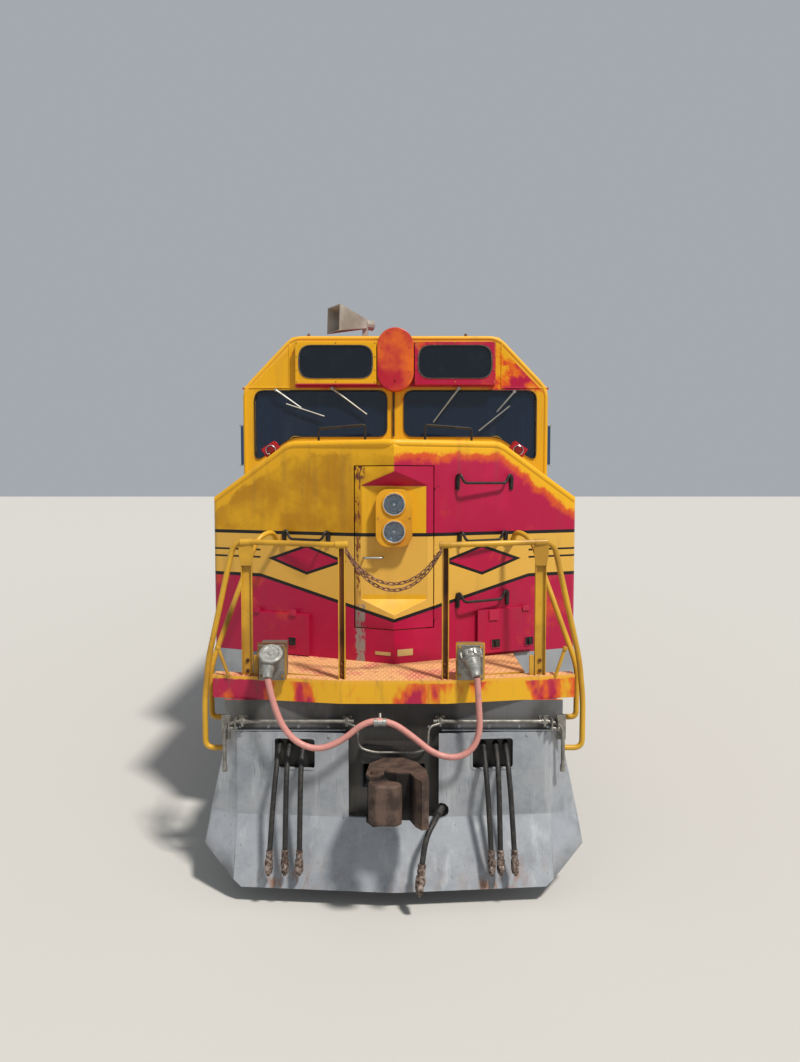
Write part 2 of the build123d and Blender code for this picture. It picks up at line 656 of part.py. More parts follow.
def build_underframe():
    """Deck, sills, bolsters, jacking pads and coupler pockets; the tank and reservoirs."""
    half = BODY_HALF
    under_deck = UNDER_DECK_Z
    frame = prism_z([(half, BODY_REAR_Y), (half, NOSE_CORNER_Y), (0, NOSE_RIDGE_Y),
                     (-half, NOSE_CORNER_Y), (-half, BODY_REAR_Y)], under_deck, DECK_Z)
    well_y = nose_front_y(STEP_WELL_X)
    for side in SIDES:
        skirt = [(STEP_WELL_X, well_y), (half, NOSE_CORNER_Y), (half, NOSE_CORNER_Y + PLATE_T),
                 (STEP_WELL_X, well_y + PLATE_T)]
        frame += prism_z([(side * x, y) for x, y in skirt], SILL_Z, under_deck)
        frame += box(flip(half - SILL_WIDTH, half, side), (NOSE_CORNER_Y, BODY_REAR_Y),
                     (SILL_Z, under_deck))
        frame += box(flip(CENTRE_SILL_X, CENTRE_SILL_X + DECK_T, side),
                     (-POCKET_FRONT, POCKET_FRONT), (CENTRE_SILL_Z, under_deck))
        frame += box(flip(0, CENTRE_SILL_X, side), (-POCKET_FRONT, POCKET_FRONT),
                     (CENTRE_SILL_Z, CENTRE_SILL_Z + DECK_T))
    for y in CROSSBEARER_Y:
        frame += box((-half, half), (y, y + DECK_T), (SILL_Z, under_deck))
    for end in SIDES:
        pad_y = end * JACK_PAD_Y
        for side in SIDES:
            frame += box(flip(half - SILL_WIDTH, half, side),
                         (pad_y - JACK_PAD_HALF, pad_y + JACK_PAD_HALF),
                         (SILL_Z - JACK_PAD_T, SILL_Z))
        centre = end * TRUCK_CENTRE_Y
        frame += box((-half, half), (centre - BOLSTER_HALF, centre + BOLSTER_HALF),
                     (SILL_Z, under_deck))
        frame += box((-BOLSTER_HALF, BOLSTER_HALF), (centre - BOLSTER_HALF, centre + BOLSTER_HALF),
                     (CENTRE_SILL_Z, SILL_Z))
        plate = Pos(0, centre, CENTRE_SILL_Z - CENTRE_PLATE_H)
        frame += plate * extrude(RegularPolygon(CENTRE_PLATE_R, RING_SIDES), amount=CENTRE_PLATE_H)
        pocket_y = (end * POCKET_BACK, end * POCKET_FRONT)
        for side in SIDES:
            frame += box(flip(CENTRE_SILL_X, CENTRE_SILL_X + DECK_T, side), pocket_y,
                         (POCKET_Z, CENTRE_SILL_Z))
        frame += box((-CENTRE_SILL_X - DECK_T, CENTRE_SILL_X + DECK_T), pocket_y,
                     (POCKET_Z - DECK_T, POCKET_Z))
    save("underframe", frame)
    shoulder = TANK_SHOULDER_Z
    profile = mirrored([(TANK_NECK_HALF, CENTRE_SILL_Z), (TANK_NECK_HALF, shoulder),
                        (TANK_HALF, shoulder), (TANK_HALF, TANK_Z + TANK_CHAMFER),
                        (TANK_HALF - TANK_CHAMFER, TANK_Z)])
    save("fuel_tank", prism_y(profile, -TANK_LENGTH / 2, TANK_LENGTH / 2))
    reservoirs = []
    for side in SIDES:
        for end in SIDES:
            x = side * RESERVOIR_X
            z = shoulder + RESERVOIR_R
            reservoirs.append(stub((x, end * RESERVOIR_GAP, z),
                                   (x, end * (RESERVOIR_GAP + RESERVOIR_LENGTH), z),
                                   RESERVOIR_R, RING_SIDES))
    save("air_reservoirs", *reservoirs)


def wheelset(y):
    """An axle with its two flanged wheels, whose rims are made of many short flats."""
    back = WHEEL_BACKS / 2
    stations = ((back, WHEEL_R + FLANGE_DEPTH), (back + FLANGE_WIDTH, WHEEL_R),
                (back + WHEEL_WIDTH, WHEEL_R - TREAD_FALL))
    half = stub((0, 0, 0), (back + 1, 0, 0), AXLE_R, AXLE_SIDES)
    half += stub((back + 1, 0, 0), (JOURNAL_END_X, 0, 0), JOURNAL_R, AXLE_SIDES)
    rings = []
    for x, radius in stations:
        upright = Plane(origin=(x, 0, 0), x_dir=(0, 0, 1), z_dir=(1, 0, 0))
        rings.append(upright * RegularPolygon(radius, WHEEL_SIDES))
    half += loft(rings, ruled=True)
    return Pos(0, y, AXLE_Z) * (half + mirror(half, about=Plane.YZ))


def build_truck(name, end):
    """Cast frame with pedestals; then axle boxes with springs, motors and brake cylinders."""
    centre = end * TRUCK_CENTRE_Y
    axles = sorted(end * -offset for offset in AXLE_OFFSETS)
    first, last = axles[0] - FRAME_OVERHANG, axles[-1] + FRAME_OVERHANG
    outline = [(first, FRAME_TOP_Z - FRAME_SLOPE), (first + FRAME_SLOPE, FRAME_TOP_Z),
               (last - FRAME_SLOPE, FRAME_TOP_Z), (last, FRAME_TOP_Z - FRAME_SLOPE)]
    for axle in reversed(axles):
        for part in (1, -1):
            leg = [(PEDESTAL_OUTER + PEDESTAL_FLARE, FRAME_LOW_Z), (PEDESTAL_OUTER, PEDESTAL_Z),
                   (AXLE_BOX_HALF, PEDESTAL_Z), (AXLE_BOX_HALF, ARCH_Z)]
            leg = leg if part > 0 else leg[::-1]
            outline += [(axle + part * y, z) for y, z in leg]
    outline = [(centre + y, z) for y, z in outline]
    frame = None
    for side in SIDES:
        x0, x1 = sorted(flip(FRAME_X, FRAME_X + FRAME_T, side))
        piece = prism_x(outline, x0, x1)
        frame = piece if frame is None else frame + piece
    middles = [(a + b) / 2 for a, b in zip(axles, axles[1:])]
    for y in middles:
        frame += box((-FRAME_X, FRAME_X), (centre + y - TRANSOM_HALF, centre + y + TRANSOM_HALF),
                     (TRANSOM_Z, FRAME_TOP_Z))
    for side in SIDES:
        frame += box(flip(BEAM_X, BEAM_X + FRAME_T, side),
                     (centre + middles[0], centre + middles[1]), (TRANSOM_Z, FRAME_TOP_Z))
    frame += box((-BEAM_X, BEAM_X), (centre - BEAM_X, centre + BEAM_X),
                 (FRAME_TOP_Z - WALL, FRAME_TOP_Z))
    bowl_h = CENTRE_SILL_Z - CENTRE_PLATE_H - BOWL_CLEARANCE - FRAME_TOP_Z
    bowl = RegularPolygon(CENTRE_PLATE_R + WALL, RING_SIDES)
    frame += Pos(0, centre, FRAME_TOP_Z) * extrude(bowl, amount=bowl_h)
    save(f"{name}_truck_frame", frame)
    gear = []
    for axle in axles:
        y = centre + axle
        for side in SIDES:
            block = box(flip(AXLE_BOX_X, AXLE_BOX_X + AXLE_BOX_T, side),
                        (y - AXLE_BOX_HALF, y + AXLE_BOX_HALF),
                        (AXLE_Z - AXLE_BOX_HALF, AXLE_Z + AXLE_BOX_TOP))
            bore_end = JOURNAL_END_X + JOURNAL_CLEARANCE * 3
            block -= stub((side * (AXLE_BOX_X - 1), y, AXLE_Z), (side * bore_end, y, AXLE_Z),
                          JOURNAL_R / math.cos(math.pi / AXLE_SIDES) + JOURNAL_CLEARANCE,
                          AXLE_SIDES)
            for part in SIDES:
                x = side * (FRAME_X + FRAME_T / 2)
                block += stub((x, y + part * SPRING_Y, AXLE_Z + AXLE_BOX_TOP),
                              (x, y + part * SPRING_Y, ARCH_Z), SPRING_R, BAR_SIDES)
            gear.append(block)
        toward = min(middles, key=lambda middle: abs(middle - axle))
        way = 1 if toward > axle else -1
        reach = abs(toward - axle) - TRANSOM_HALF
        near, body = AXLE_R + MOTOR_GAP, AXLE_R + MOTOR_BODY
        motor = [(near, AXLE_Z - MOTOR_NECK), (near, AXLE_Z + MOTOR_NECK),
                 (body, MOTOR_TOP_Z), (reach - WALL, MOTOR_TOP_Z), (reach, TRANSOM_Z),
                 (reach + TRANSOM_HALF, TRANSOM_Z), (reach + TRANSOM_HALF, TRANSOM_Z - WALL),
                 (reach - WALL, AXLE_Z), (reach - 2 * WALL, MOTOR_Z), (body, MOTOR_Z)]
        gear.append(prism_x([(y + way * a, b) for a, b in motor], -MOTOR_HALF, MOTOR_HALF))
    for side in SIDES:
        face_x = FRAME_X + FRAME_T
        x = side * (face_x + BRAKE_R + BRAKE_STANDOFF)
        for y in middles:
            cylinder = stub((x, centre + y - BRAKE_LENGTH / 2, BRAKE_Z),
                            (x, centre + y + BRAKE_LENGTH / 2, BRAKE_Z), BRAKE_R)
            cylinder += box(flip(face_x, face_x + BRAKE_R, side),
                            (centre + y - BRAKE_R, centre + y + BRAKE_R),
                            (BRAKE_Z - BRAKE_R / 2, BRAKE_Z + BRAKE_R / 2))
            gear.append(cylinder)
    save(f"{name}_truck_gear", *gear)
    return [centre + axle for axle in axles]


def swept_band(y, half, flat_half, sweep_back, depth, z0, z1):
    """A beam with a flat middle and ends swept back, seen in plan."""
    front = [(half, y + sweep_back), (flat_half, y)]
    back = [(flat_half, y + depth), (half, y + sweep_back + depth)]
    points = front + [(-x, v) for x, v in reversed(front)]
    points += [(-x, v) for x, v in reversed(back)] + back
    return prism_z(points, z0, z1)


def air_hose_routes():
    """The six small air hoses, each fanned out a little towards its lower end."""
    routes = []
    last = len(MU_ROUTE) - 1
    for top, low in zip(MU_TOPS, MU_ENDS):
        routes.append([(top + (low - top) * max(0, (i - 1) / (last - 1)) ** 2, FRONT + back, z)
                       for i, (back, z) in enumerate(MU_ROUTE)])
    return routes


def build_platform():
    """Front beam, tread deck, step wells with their treads, end plate and striker."""
    beam_z = DECK_Z - BEAM_H
    platform = swept_band(PLATFORM_Y, PLATFORM_HALF, PLATFORM_FLAT_HALF, PLATFORM_SWEEP,
                          BEAM_T, beam_z, DECK_Z)
    edge_y = nose_front_y(STEP_WELL_X)
    beam_back = PLATFORM_Y + BEAM_T
    deck = [(STEP_WELL_X, edge_y), (STEP_WELL_X, beam_back + PLATFORM_SWEEP),
            (PLATFORM_FLAT_HALF, beam_back), (-PLATFORM_FLAT_HALF, beam_back),
            (-STEP_WELL_X, beam_back + PLATFORM_SWEEP), (-STEP_WELL_X, edge_y),
            (0, NOSE_RIDGE_Y)]
    platform += prism_z(deck, UNDER_DECK_Z, DECK_Z)
    plate_y = (END_PLATE_Y, END_PLATE_Y + PLATE_T)
    plate = box((-END_PLATE_HALF, END_PLATE_HALF), plate_y, (PILOT_Z[0], beam_z))
    plate += box((-END_PLATE_LOW_HALF, END_PLATE_LOW_HALF), plate_y, (PILOT_Z[1], PILOT_Z[0]))
    plate -= box((-CENTRE_SILL_X, CENTRE_SILL_X), (END_PLATE_Y - 1, END_PLATE_Y + 2 * PLATE_T),
                 (POCKET_Z, STRIKER_Z[0]))
    platform += plate
    platform += box((-STRIKER_HALF, STRIKER_HALF), (PILOT_Y, END_PLATE_Y), STRIKER_Z)
    platform += box((-STRIKER_HALF, STRIKER_HALF), (END_PLATE_Y + PLATE_T, STEP_Y[0]),
                    (CENTRE_SILL_Z + DECK_T, UNDER_DECK_Z))
    for side in SIDES:
        platform += box(flip(STEP_WELL_X - PLATE_T, STEP_WELL_X, side), STEP_Y,
                        (STEP_Z[-1] - PLATE_T, UNDER_DECK_Z))
        platform += box(flip(STEP_WELL_X - PLATE_T, STEP_WELL_X, side),
                        (END_PLATE_Y + PLATE_T, STEP_Y[0]), (PILOT_Z[1], UNDER_DECK_Z))
        platform += box(flip(STEP_WELL_X, STEP_OUTER_X, side), (STEP_Y[1] - PLATE_T, STEP_Y[1]),
                        (STEP_Z[-1] - PLATE_T, SILL_Z))
        platform += box(flip(STEP_WELL_X - PLATE_T, STEP_OUTER_X, side),
                        (STEP_Y[1], NOSE_CORNER_Y + 1), (SILL_Z - PLATE_T, SILL_Z))
        for z in STEP_Z:
            platform += box(flip(STEP_WELL_X, STEP_OUTER_X, side), STEP_Y, (z - PLATE_T, z))
    for route in air_hose_routes():
        platform += pipe_end(route, NIPPLE_R)
    platform += pipe_end(behind_face(BRAKE_HOSE), ELBOW_R)
    save("front_platform", platform)


def pipe_end(route, radius):
    """The fixed pipe that a hose is screwed to, in line with the hose's first run."""
    first = Vector(*route[0])
    ahead = (Vector(*route[1]) - first).normalized()
    reach = (END_PLATE_Y + PLATE_T / 2 - first.Y) / ahead.Y
    return stub(first + ahead * reach, first, radius)


def pilot_row(level):
    """The front edge of the pilot at one height, as (x, y) points from the middle outwards."""
    lean = PILOT_LEAN if level == 2 else 0
    half = PILOT_HALF[level]
    y = PILOT_Y - lean
    return [(0, y), (PILOT_FLAT_HALF, y + PILOT_BOW), (half, y + PILOT_BOW + PILOT_WING_BACK)]


def build_pilots():
    """Front pilot: a bowed plate with swept wings and a lower part that flares forwards."""
    sections = []
    for level, z in enumerate(PILOT_Z):
        front = pilot_row(level)
        back = [(x, y + PLATE_T) for x, y in front]
        points = front[::-1] + [(-x, y) for x, y in front[1:]]
        points += [(-x, y) for x, y in back[::-1]] + back[1:]
        sections.append(Plane(origin=(0, 0, z)) * make_face(Polyline(*points, close=True)))
    pilot = loft(sections[:2], ruled=True) + loft(sections[1:], ruled=True)
    deep = (PILOT_Y - 2 * PILOT_LEAN, PILOT_Y + 2 * PILOT_LEAN)
    half = COUPLER_OPENING_HALF
    pilot -= box((-half, half), deep, (PILOT_Z[1], PILOT_Z[0] + 1))
    pilot -= stub((NOTCH_X, deep[0], NOTCH_Z), (NOTCH_X, deep[1], NOTCH_Z), NOTCH_R, AXLE_SIDES)
    corner_x, corner_z = PILOT_CORNER
    for side in SIDES:
        pilot -= box(flip(*HOSE_WINDOW_X, side), deep, HOSE_WINDOW_Z)
        outer = PILOT_HALF[2] * 2
        cut = [(side * corner_x, PILOT_Z[2] - 1), (side * PILOT_HALF[2], corner_z),
               (side * outer, corner_z), (side * outer, PILOT_Z[2] - 1)]
        pilot -= prism_y(cut, *deep)
    for side in SIDES:
        pilot += box(flip(STEP_WELL_X - 2 * PLATE_T, STEP_WELL_X - PLATE_T, side),
                     (PILOT_Y + PILOT_BOW, END_PLATE_Y), (PILOT_Z[1], PILOT_Z[0]))
    save("front_pilot", pilot)
    top, low = REAR_PILOT_Z
    half = REAR_PILOT_HALF
    outline = mirrored([(half, top), (half, low + REAR_PILOT_CORNER),
                        (half - REAR_PILOT_CORNER, low)])
    rear = prism_y(outline, BODY_REAR_Y, BODY_REAR_Y + PLATE_T)
    rear -= box((-CENTRE_SILL_X, CENTRE_SILL_X), (BODY_REAR_Y - 1, BODY_REAR_Y + 2 * PLATE_T),
                (POCKET_Z, STRIKER_Z[0]))
    rear += box((-STRIKER_HALF, STRIKER_HALF), (BODY_REAR_Y + PLATE_T, BODY_REAR_Y + 2 * PLATE_T),
                STRIKER_Z)
    save("rear_pilot", rear)


def build_couplers():
    """Coupler heads with shank, yoke and lugs, and the knuckles held between the lugs."""
    heads = []
    knuckles = []
    z = COUPLER_Z
    shank = box((-SHANK_HALF, SHANK_HALF), (-POCKET_BACK - YOKE_LENGTH, FRONT + HEAD_BACK),
                (z - SHANK_HALF, z + SHANK_HALF))
    yoke = box((-CENTRE_SILL_X, CENTRE_SILL_X), (-POCKET_BACK - YOKE_LENGTH, -POCKET_BACK),
               (POCKET_Z, 2 * z - POCKET_Z))
    pin_x, pin_back = KNUCKLE_PIN
    for end in SIDES:
        turn = Rot(0, 0, 0 if end < 0 else 180)
        head = shank + yoke + coupler_plate(HEAD, -HEAD_H / 2, HEAD_H / 2)
        head += coupler_plate(LUG, KNUCKLE_H / 2, HEAD_H / 2)
        head += coupler_plate(LUG, -HEAD_H / 2, -KNUCKLE_H / 2)
        place = (pin_x, FRONT + pin_back)
        for side in SIDES:
            head += stub((*place, z + side * (HEAD_H / 2 - 1)), (*place, z + side * PIN_REACH),
                         PIN_R)
        heads.append(turn * head)
        knuckles.append(turn * coupler_plate(KNUCKLE, -KNUCKLE_H / 2, KNUCKLE_H / 2))
    save("coupler_bodies", *heads)
    save("coupler_knuckles", *knuckles)


def coupler_plate(outline, low, high):
    """A coupler form: (x, distance behind the pulling face) points carried up from low to high."""
    points = [(x, FRONT + back) for x, back in outline]
    return prism_z(points, COUPLER_Z + low, COUPLER_Z + high)


def build_front_fittings():
    """Lamps, number boards, roof cover, loudspeaker, rails, grabs and ladders."""
    plane_y = NOSE_RIDGE_Y + RECESS_DEPTH
    lamp = Plane(origin=(0, plane_y, HEADLIGHT_Z), x_dir=(0, 0, 1), z_dir=(0, -1, 0))
    outline = RectangleRounded(HEADLIGHT_H, HEADLIGHT_W, HEADLIGHT_CORNER_R)
    housing = extrude(lamp * outline, amount=HEADLIGHT_D)
    for z in LAMP_Z:
        housing -= stub((0, plane_y - HEADLIGHT_D - 1, z), (0, plane_y - HEADLIGHT_D / 2, z),
                        LAMP_R, RING_SIDES)
    save("headlight", housing)
    boards = []
    for side in SIDES:
        board = box(flip(*BOARD_X, side), (CAB_FRONT_Y - BOARD_D, CAB_FRONT_Y), BOARD_Z)
        width = BOARD_X[1] - BOARD_X[0] - 2 * BOARD_RIM
        low, high = BOARD_Z[0] + BOARD_SILL, BOARD_Z[1] - BOARD_RIM
        face = Plane(origin=(side * sum(BOARD_X) / 2, CAB_FRONT_Y - BOARD_D, (low + high) / 2),
                     x_dir=(1, 0, 0), z_dir=(0, -1, 0))
        pocket = face * RectangleRounded(width, high - low, BOARD_CORNER_R)
        boards.append(board - extrude(pocket, amount=-BOARD_POCKET))
    save("number_boards", *boards)
    cover = Plane(origin=(0, CAB_FRONT_Y, OVAL_Z), x_dir=(0, 0, 1), z_dir=(0, -1, 0))
    save("oval_cover", extrude(cover * SlotOverall(OVAL_H, OVAL_W), amount=OVAL_D))
    mouth = Plane(origin=HORN_MOUTH, z_dir=HORN_AXIS)
    throat = Plane(origin=Vector(*HORN_MOUTH) - Vector(*HORN_AXIS).normalized() * HORN_LENGTH,
                   z_dir=HORN_AXIS)
    bell = loft([throat * Rectangle(HORN_THROAT, HORN_THROAT), mouth * Rectangle(HORN_W, HORN_W)],
                ruled=True)
    inside = HORN_W - 2 * HORN_WALL
    deep = throat * Pos(0, 0, HORN_LENGTH / 4) * Rectangle(HORN_THROAT / 2, HORN_THROAT / 2)
    bell -= loft([deep, mouth * Pos(0, 0, 1) * Rectangle(inside, inside)], ruled=True)
    foot = throat.origin
    driver_end = (throat * Pos(0, 0, -HORN_THROAT)).position
    driver = stub(driver_end, foot, HORN_DRIVER_R, AXLE_SIDES)
    stand = box((foot.X - HORN_FOOT_HALF, foot.X + HORN_FOOT_HALF),
                (foot.Y - HORN_FOOT_HALF, foot.Y + HORN_FOOT_HALF), (ROOF_Z, foot.Z))
    save("loudspeaker", bell + driver + stand)
    rails = []
    nose = nose_block(0, 0)
    for side in SIDES:
        rail = bent_bar(behind_face(OUTER_RAIL, side), RAIL_R, RAIL_BEND)
        rail += post(side * INNER_POST_X, RAIL_Y, INNER_POST_HALF)
        rail += post(side * CORNER_POST_X, RAIL_Y + POST_SET, CORNER_POST_HALF)
        rails.append(rail)
        rails.append(bent_bar(behind_face(STEP_RAIL, side), RAIL_R, RAIL_BEND) - nose)
    save("platform_rails", *rails)


def post(x, y, half):
    """A flat post on the platform, half being half its size in x and in y."""
    return box((x - half[0], x + half[0]), (y - half[1], y + half[1]), (DECK_Z, RAIL_TOP_Z))


def build_grabs():
    """Grab irons on the nose and beside the doors, and the ladders below the doors."""
    grabs = []
    nose = nose_block(0, 0)
    for x0, x1, z in NOSE_GRABS:
        y0, y1 = nose_front_y(x0), nose_front_y(x1)
        grabs.append(bent_bar([(x0, y0 + GRAB_R, z), (x0, y0 - GRAB_OUT, z),
                               (x1, y1 - GRAB_OUT, z), (x1, y1 + GRAB_R, z)],
                              GRAB_R, GRAB_BEND) - nose)
    for side in SIDES:
        x0, x1 = flip(*TOP_RAIL_X, side)
        foot, top = NOSE_TOP_Z, NOSE_TOP_Z + TOP_RAIL_H
        grabs.append(bent_bar([(x0, TOP_RAIL_Y, foot), (x0, TOP_RAIL_Y, top),
                               (x1, TOP_RAIL_Y, top), (x1, TOP_RAIL_Y, foot)],
                              GRAB_R, GRAB_BEND))
        low, high = DOOR_GRAB_Z
        wall_x, out_x = flip(BODY_HALF, BODY_HALF + GRAB_OUT, side)
        for y in (SIDE_DOOR_Y[0] - DOOR_GRAB_GAP, SIDE_DOOR_Y[1] + DOOR_GRAB_GAP):
            grabs.append(bent_bar([(wall_x, y, low), (out_x, y, low), (out_x, y, high),
                                   (wall_x, y, high)], GRAB_R, GRAB_BEND))
        ladder = None
        for y in SIDE_DOOR_Y:
            stile = box(flip(BODY_HALF - WALL, BODY_HALF, side),
                        (y, y + math.copysign(PLATE_T, y)), (LADDER_Z, SILL_Z))
            ladder = stile if ladder is None else ladder + stile
        for rung in range(LADDER_RUNGS):
            z = LADDER_Z + rung * (SILL_Z - LADDER_Z) / LADDER_RUNGS
            ladder += box(flip(BODY_HALF - WALL, BODY_HALF, side), SIDE_DOOR_Y,
                          (z, z + LADDER_RUNG_T))
        grabs.append(ladder)
        x = side * REAR_GRAB_X
        out_y = BODY_REAR_Y + GRAB_OUT
        grabs.append(bent_bar([(x, BODY_REAR_Y, low), (x, out_y, low), (x, out_y, high),
                               (x, BODY_REAR_Y, high)], GRAB_R, GRAB_BEND))
    save("ladders_and_grabs", *grabs)


def build_chain():
    """The chain across the platform gate: flat links, each turned a quarter from the last."""
    length, width, wire = CHAIN_LINK
    half = INNER_POST_X - INNER_POST_HALF[0]
    sag = ThreePointArc((-half, RAIL_Y, CHAIN_Z), (0, RAIL_Y, CHAIN_Z - CHAIN_SAG),
                        (half, RAIL_Y, CHAIN_Z))
    steps = math.ceil(sag.length / CHAIN_PITCH)
    ring = Box(length, width, wire) - Box(length - 2 * wire, width - 2 * wire, wire)
    between_posts = box((-half, half), (RAIL_Y - length, RAIL_Y + length),
                        (DECK_Z, 2 * RAIL_TOP_Z))
    links = []
    for step in range(steps + 1):
        along = sag % (step / steps)
        place = Plane(origin=sag @ (step / steps), x_dir=along, z_dir=(-along.Z, 0, along.X))
        roll = CHAIN_ROLL if step % 2 else -CHAIN_ROLL
        links.append(place * Rot(roll, 0, 0) * ring & between_posts)
    save("gate_chain", *links)


def coupling(route, length):
    """A hose's end coupling, in line with the hose's last run."""
    end = Vector(*route[-1])
    ahead = (end - Vector(*route[-2])).normalized()
    return stub(end, end + ahead * length, COUPLING_R)


def build_hoses():
    """Receptacles, jumper cable with its plugs and clamp, and the air hoses."""
    receptacles = []
    for x in RECEPTACLE_X:
        swept = PLATFORM_SWEEP * (abs(x) - PLATFORM_FLAT_HALF) / (PLATFORM_HALF - PLATFORM_FLAT_HALF)
        receptacles.append(box((x - RECEPTACLE_HALF, x + RECEPTACLE_HALF),
                               (RECEPTACLE_Y, PLATFORM_Y + swept + RECEPTACLE_SEAT), RECEPTACLE_Z))
    save("mu_receptacles", *receptacles)
    route = [(x, JUMPER_Y, z) for x, z in JUMPER]
    cable = hose("jumper_cable", route, JUMPER_D)
    clamp = box((CLAMP_X - CLAMP_W / 2, CLAMP_X + CLAMP_W / 2),
                (JUMPER_Y - JUMPER_D, JUMPER_Y + JUMPER_D),
                (JUMPER[5][1] - JUMPER_D, JUMPER[5][1] + JUMPER_D))
    fittings = [clamp - cable]
    for x, end, after in zip(RECEPTACLE_X, (route[0], route[-1]), (route[1], route[-2])):
        face = Vector(x, RECEPTACLE_Y, sum(RECEPTACLE_Z) / 2 + PLUG_R / 2)
        nose = face - Vector(0, PLUG_BODY_R, 0)
        tip = Vector(*end)
        elbow = tip + (tip - Vector(*after)).normalized() * PLUG_R
        plug = stub(face, nose, PLUG_R) + stub(nose, elbow, PLUG_BODY_R)
        fittings.append(plug + stub(elbow, tip, PLUG_TIP_R))
    save("jumper_fittings", *fittings)
    save("jumper_cable", cable)
    couplings = []
    for number, points in enumerate(air_hose_routes(), 1):
        save(f"mu_hose_{number}", hose(f"mu_hose_{number}", points, MU_HOSE_D))
        couplings.append(coupling(points, MU_COUPLING))
    brake = behind_face(BRAKE_HOSE)
    save("brake_hose", hose("brake_hose", brake, BRAKE_HOSE_D))
    couplings.append(coupling(brake, BRAKE_COUPLING))
    save("hose_couplings", *couplings)


def build_levers():
    """Uncoupling levers on the end plate, with their hanging handles."""
    levers = []
    handle_x, handle_z = LEVER_HANDLE
    for side in SIDES:
        inner, outer = LEVER_X
        points = [(side * inner, LEVER_Y, LEVER_Z), (side * outer, LEVER_Y, LEVER_Z),
                  (side * handle_x, LEVER_Y, LEVER_Z - LEVER_DROP),
                  (side * handle_x, LEVER_Y, handle_z)]
        lever = bent_bar(points, LEVER_R, GRAB_BEND)
        for x in (inner + WALL, outer - WALL):
            lever += box(flip(x - LEVER_R, x + LEVER_R, side),
                         (LEVER_Y - LEVER_BRACKET[0], END_PLATE_Y),
                         (LEVER_Z - LEVER_BRACKET[1], LEVER_Z + LEVER_BRACKET[1]))
        levers.append(lever)
    save("cut_levers", *levers)


def build_cab_fittings():
    """Seats and control stand that show through the windows."""
    pieces = []
    for side in SIDES:
        x = side * SEAT_X
        wide = (x - SEAT_HALF, x + SEAT_HALF)
        back_y = SEAT_Y + SEAT_HALF
        seat_z = CAB_FLOOR_Z + SEAT_H
        seat = box(wide, (SEAT_Y - SEAT_HALF, back_y), (seat_z, seat_z + SEAT_T))
        seat += box(wide, (back_y - SEAT_BACK_T, back_y), (seat_z, CAB_FLOOR_Z + SEAT_BACK_H))
        seat += box((x - SEAT_POST_HALF, x + SEAT_POST_HALF),
                    (SEAT_Y - SEAT_POST_HALF, SEAT_Y + SEAT_POST_HALF), (CAB_FLOOR_Z, seat_z))
        pieces.append(seat)
    pieces.append(box(STAND_X, STAND_Y, (CAB_FLOOR_Z, CAB_FLOOR_Z + STAND_H)))
    save("cab_fittings", *pieces)


build_cab()
save("nose_shell", build_nose())
save("nose_door", build_nose_door())
build_body()
build_roof()
build_underframe()
axle_places = []
for truck_name, way in (("front", -1), ("rear", 1)):
    axle_places += build_truck(truck_name, way)
for number, place in enumerate(axle_places, 1):
    save(f"wheelset_{number}", wheelset(place))
build_platform()
build_pilots()
build_couplers()
build_front_fittings()
build_grabs()
build_chain()
build_hoses()
build_levers()
build_cab_fittings()
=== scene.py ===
# %% [markdown]
# # A six-axle passenger diesel locomotive
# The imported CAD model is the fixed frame: every sheet, wheel and bar already has its place.
# This lesson dresses it. Each step says what the real thing is, and why it is made this way.

# %% Load the frame
import json
import math

import bmesh
import bpy
from mathutils import Matrix, Vector

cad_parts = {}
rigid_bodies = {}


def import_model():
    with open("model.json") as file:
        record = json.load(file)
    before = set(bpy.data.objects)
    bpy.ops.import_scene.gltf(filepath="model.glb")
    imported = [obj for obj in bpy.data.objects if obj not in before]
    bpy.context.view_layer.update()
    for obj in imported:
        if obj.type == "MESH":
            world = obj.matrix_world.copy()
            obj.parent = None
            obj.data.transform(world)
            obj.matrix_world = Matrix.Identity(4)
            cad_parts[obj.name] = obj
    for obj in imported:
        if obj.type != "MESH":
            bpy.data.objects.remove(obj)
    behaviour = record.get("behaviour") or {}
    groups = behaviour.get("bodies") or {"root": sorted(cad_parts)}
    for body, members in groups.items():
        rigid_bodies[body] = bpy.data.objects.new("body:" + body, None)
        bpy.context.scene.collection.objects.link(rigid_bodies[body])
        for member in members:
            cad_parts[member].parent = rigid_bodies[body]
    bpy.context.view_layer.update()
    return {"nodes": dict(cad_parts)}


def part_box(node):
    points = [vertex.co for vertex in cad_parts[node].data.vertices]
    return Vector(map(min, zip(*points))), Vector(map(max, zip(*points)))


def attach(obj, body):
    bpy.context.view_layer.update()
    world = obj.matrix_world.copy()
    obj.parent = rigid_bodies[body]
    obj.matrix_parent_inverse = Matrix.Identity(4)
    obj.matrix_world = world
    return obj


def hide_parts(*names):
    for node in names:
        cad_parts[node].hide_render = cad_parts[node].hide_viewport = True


for item in list(bpy.data.objects):
    bpy.data.objects.remove(item)
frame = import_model()
nodes = frame["nodes"]

# %% [markdown]
# Drawings of a locomotive are in millimetres and Blender works in metres, so small helpers turn
# a drawing's numbers into points and places. A place is a matrix: a point and how it is turned.
# The nose is a V in plan, so two helpers give a point and a place on its slanting face.

# %% Places
SIDES = (-1, 1)
RIDGE_Y = -9930
CORNER_Y = -9275
BODY_HALF = 1550
CAB_Y = -7869
REAR_Y = 10430
DECK_Z = 1592
SILL_Z = 1290
ROOF_Z = 4490
NOSE_TURN = math.atan2(CORNER_Y - RIDGE_Y, BODY_HALF)


def mm(x, y, z):
    """A point in millimetres as a vector in metres."""
    return Vector((x, y, z)) / 1000


def at(x, y, z):
    """A place at a point in millimetres, with no turn."""
    return Matrix.Translation(mm(x, y, z))


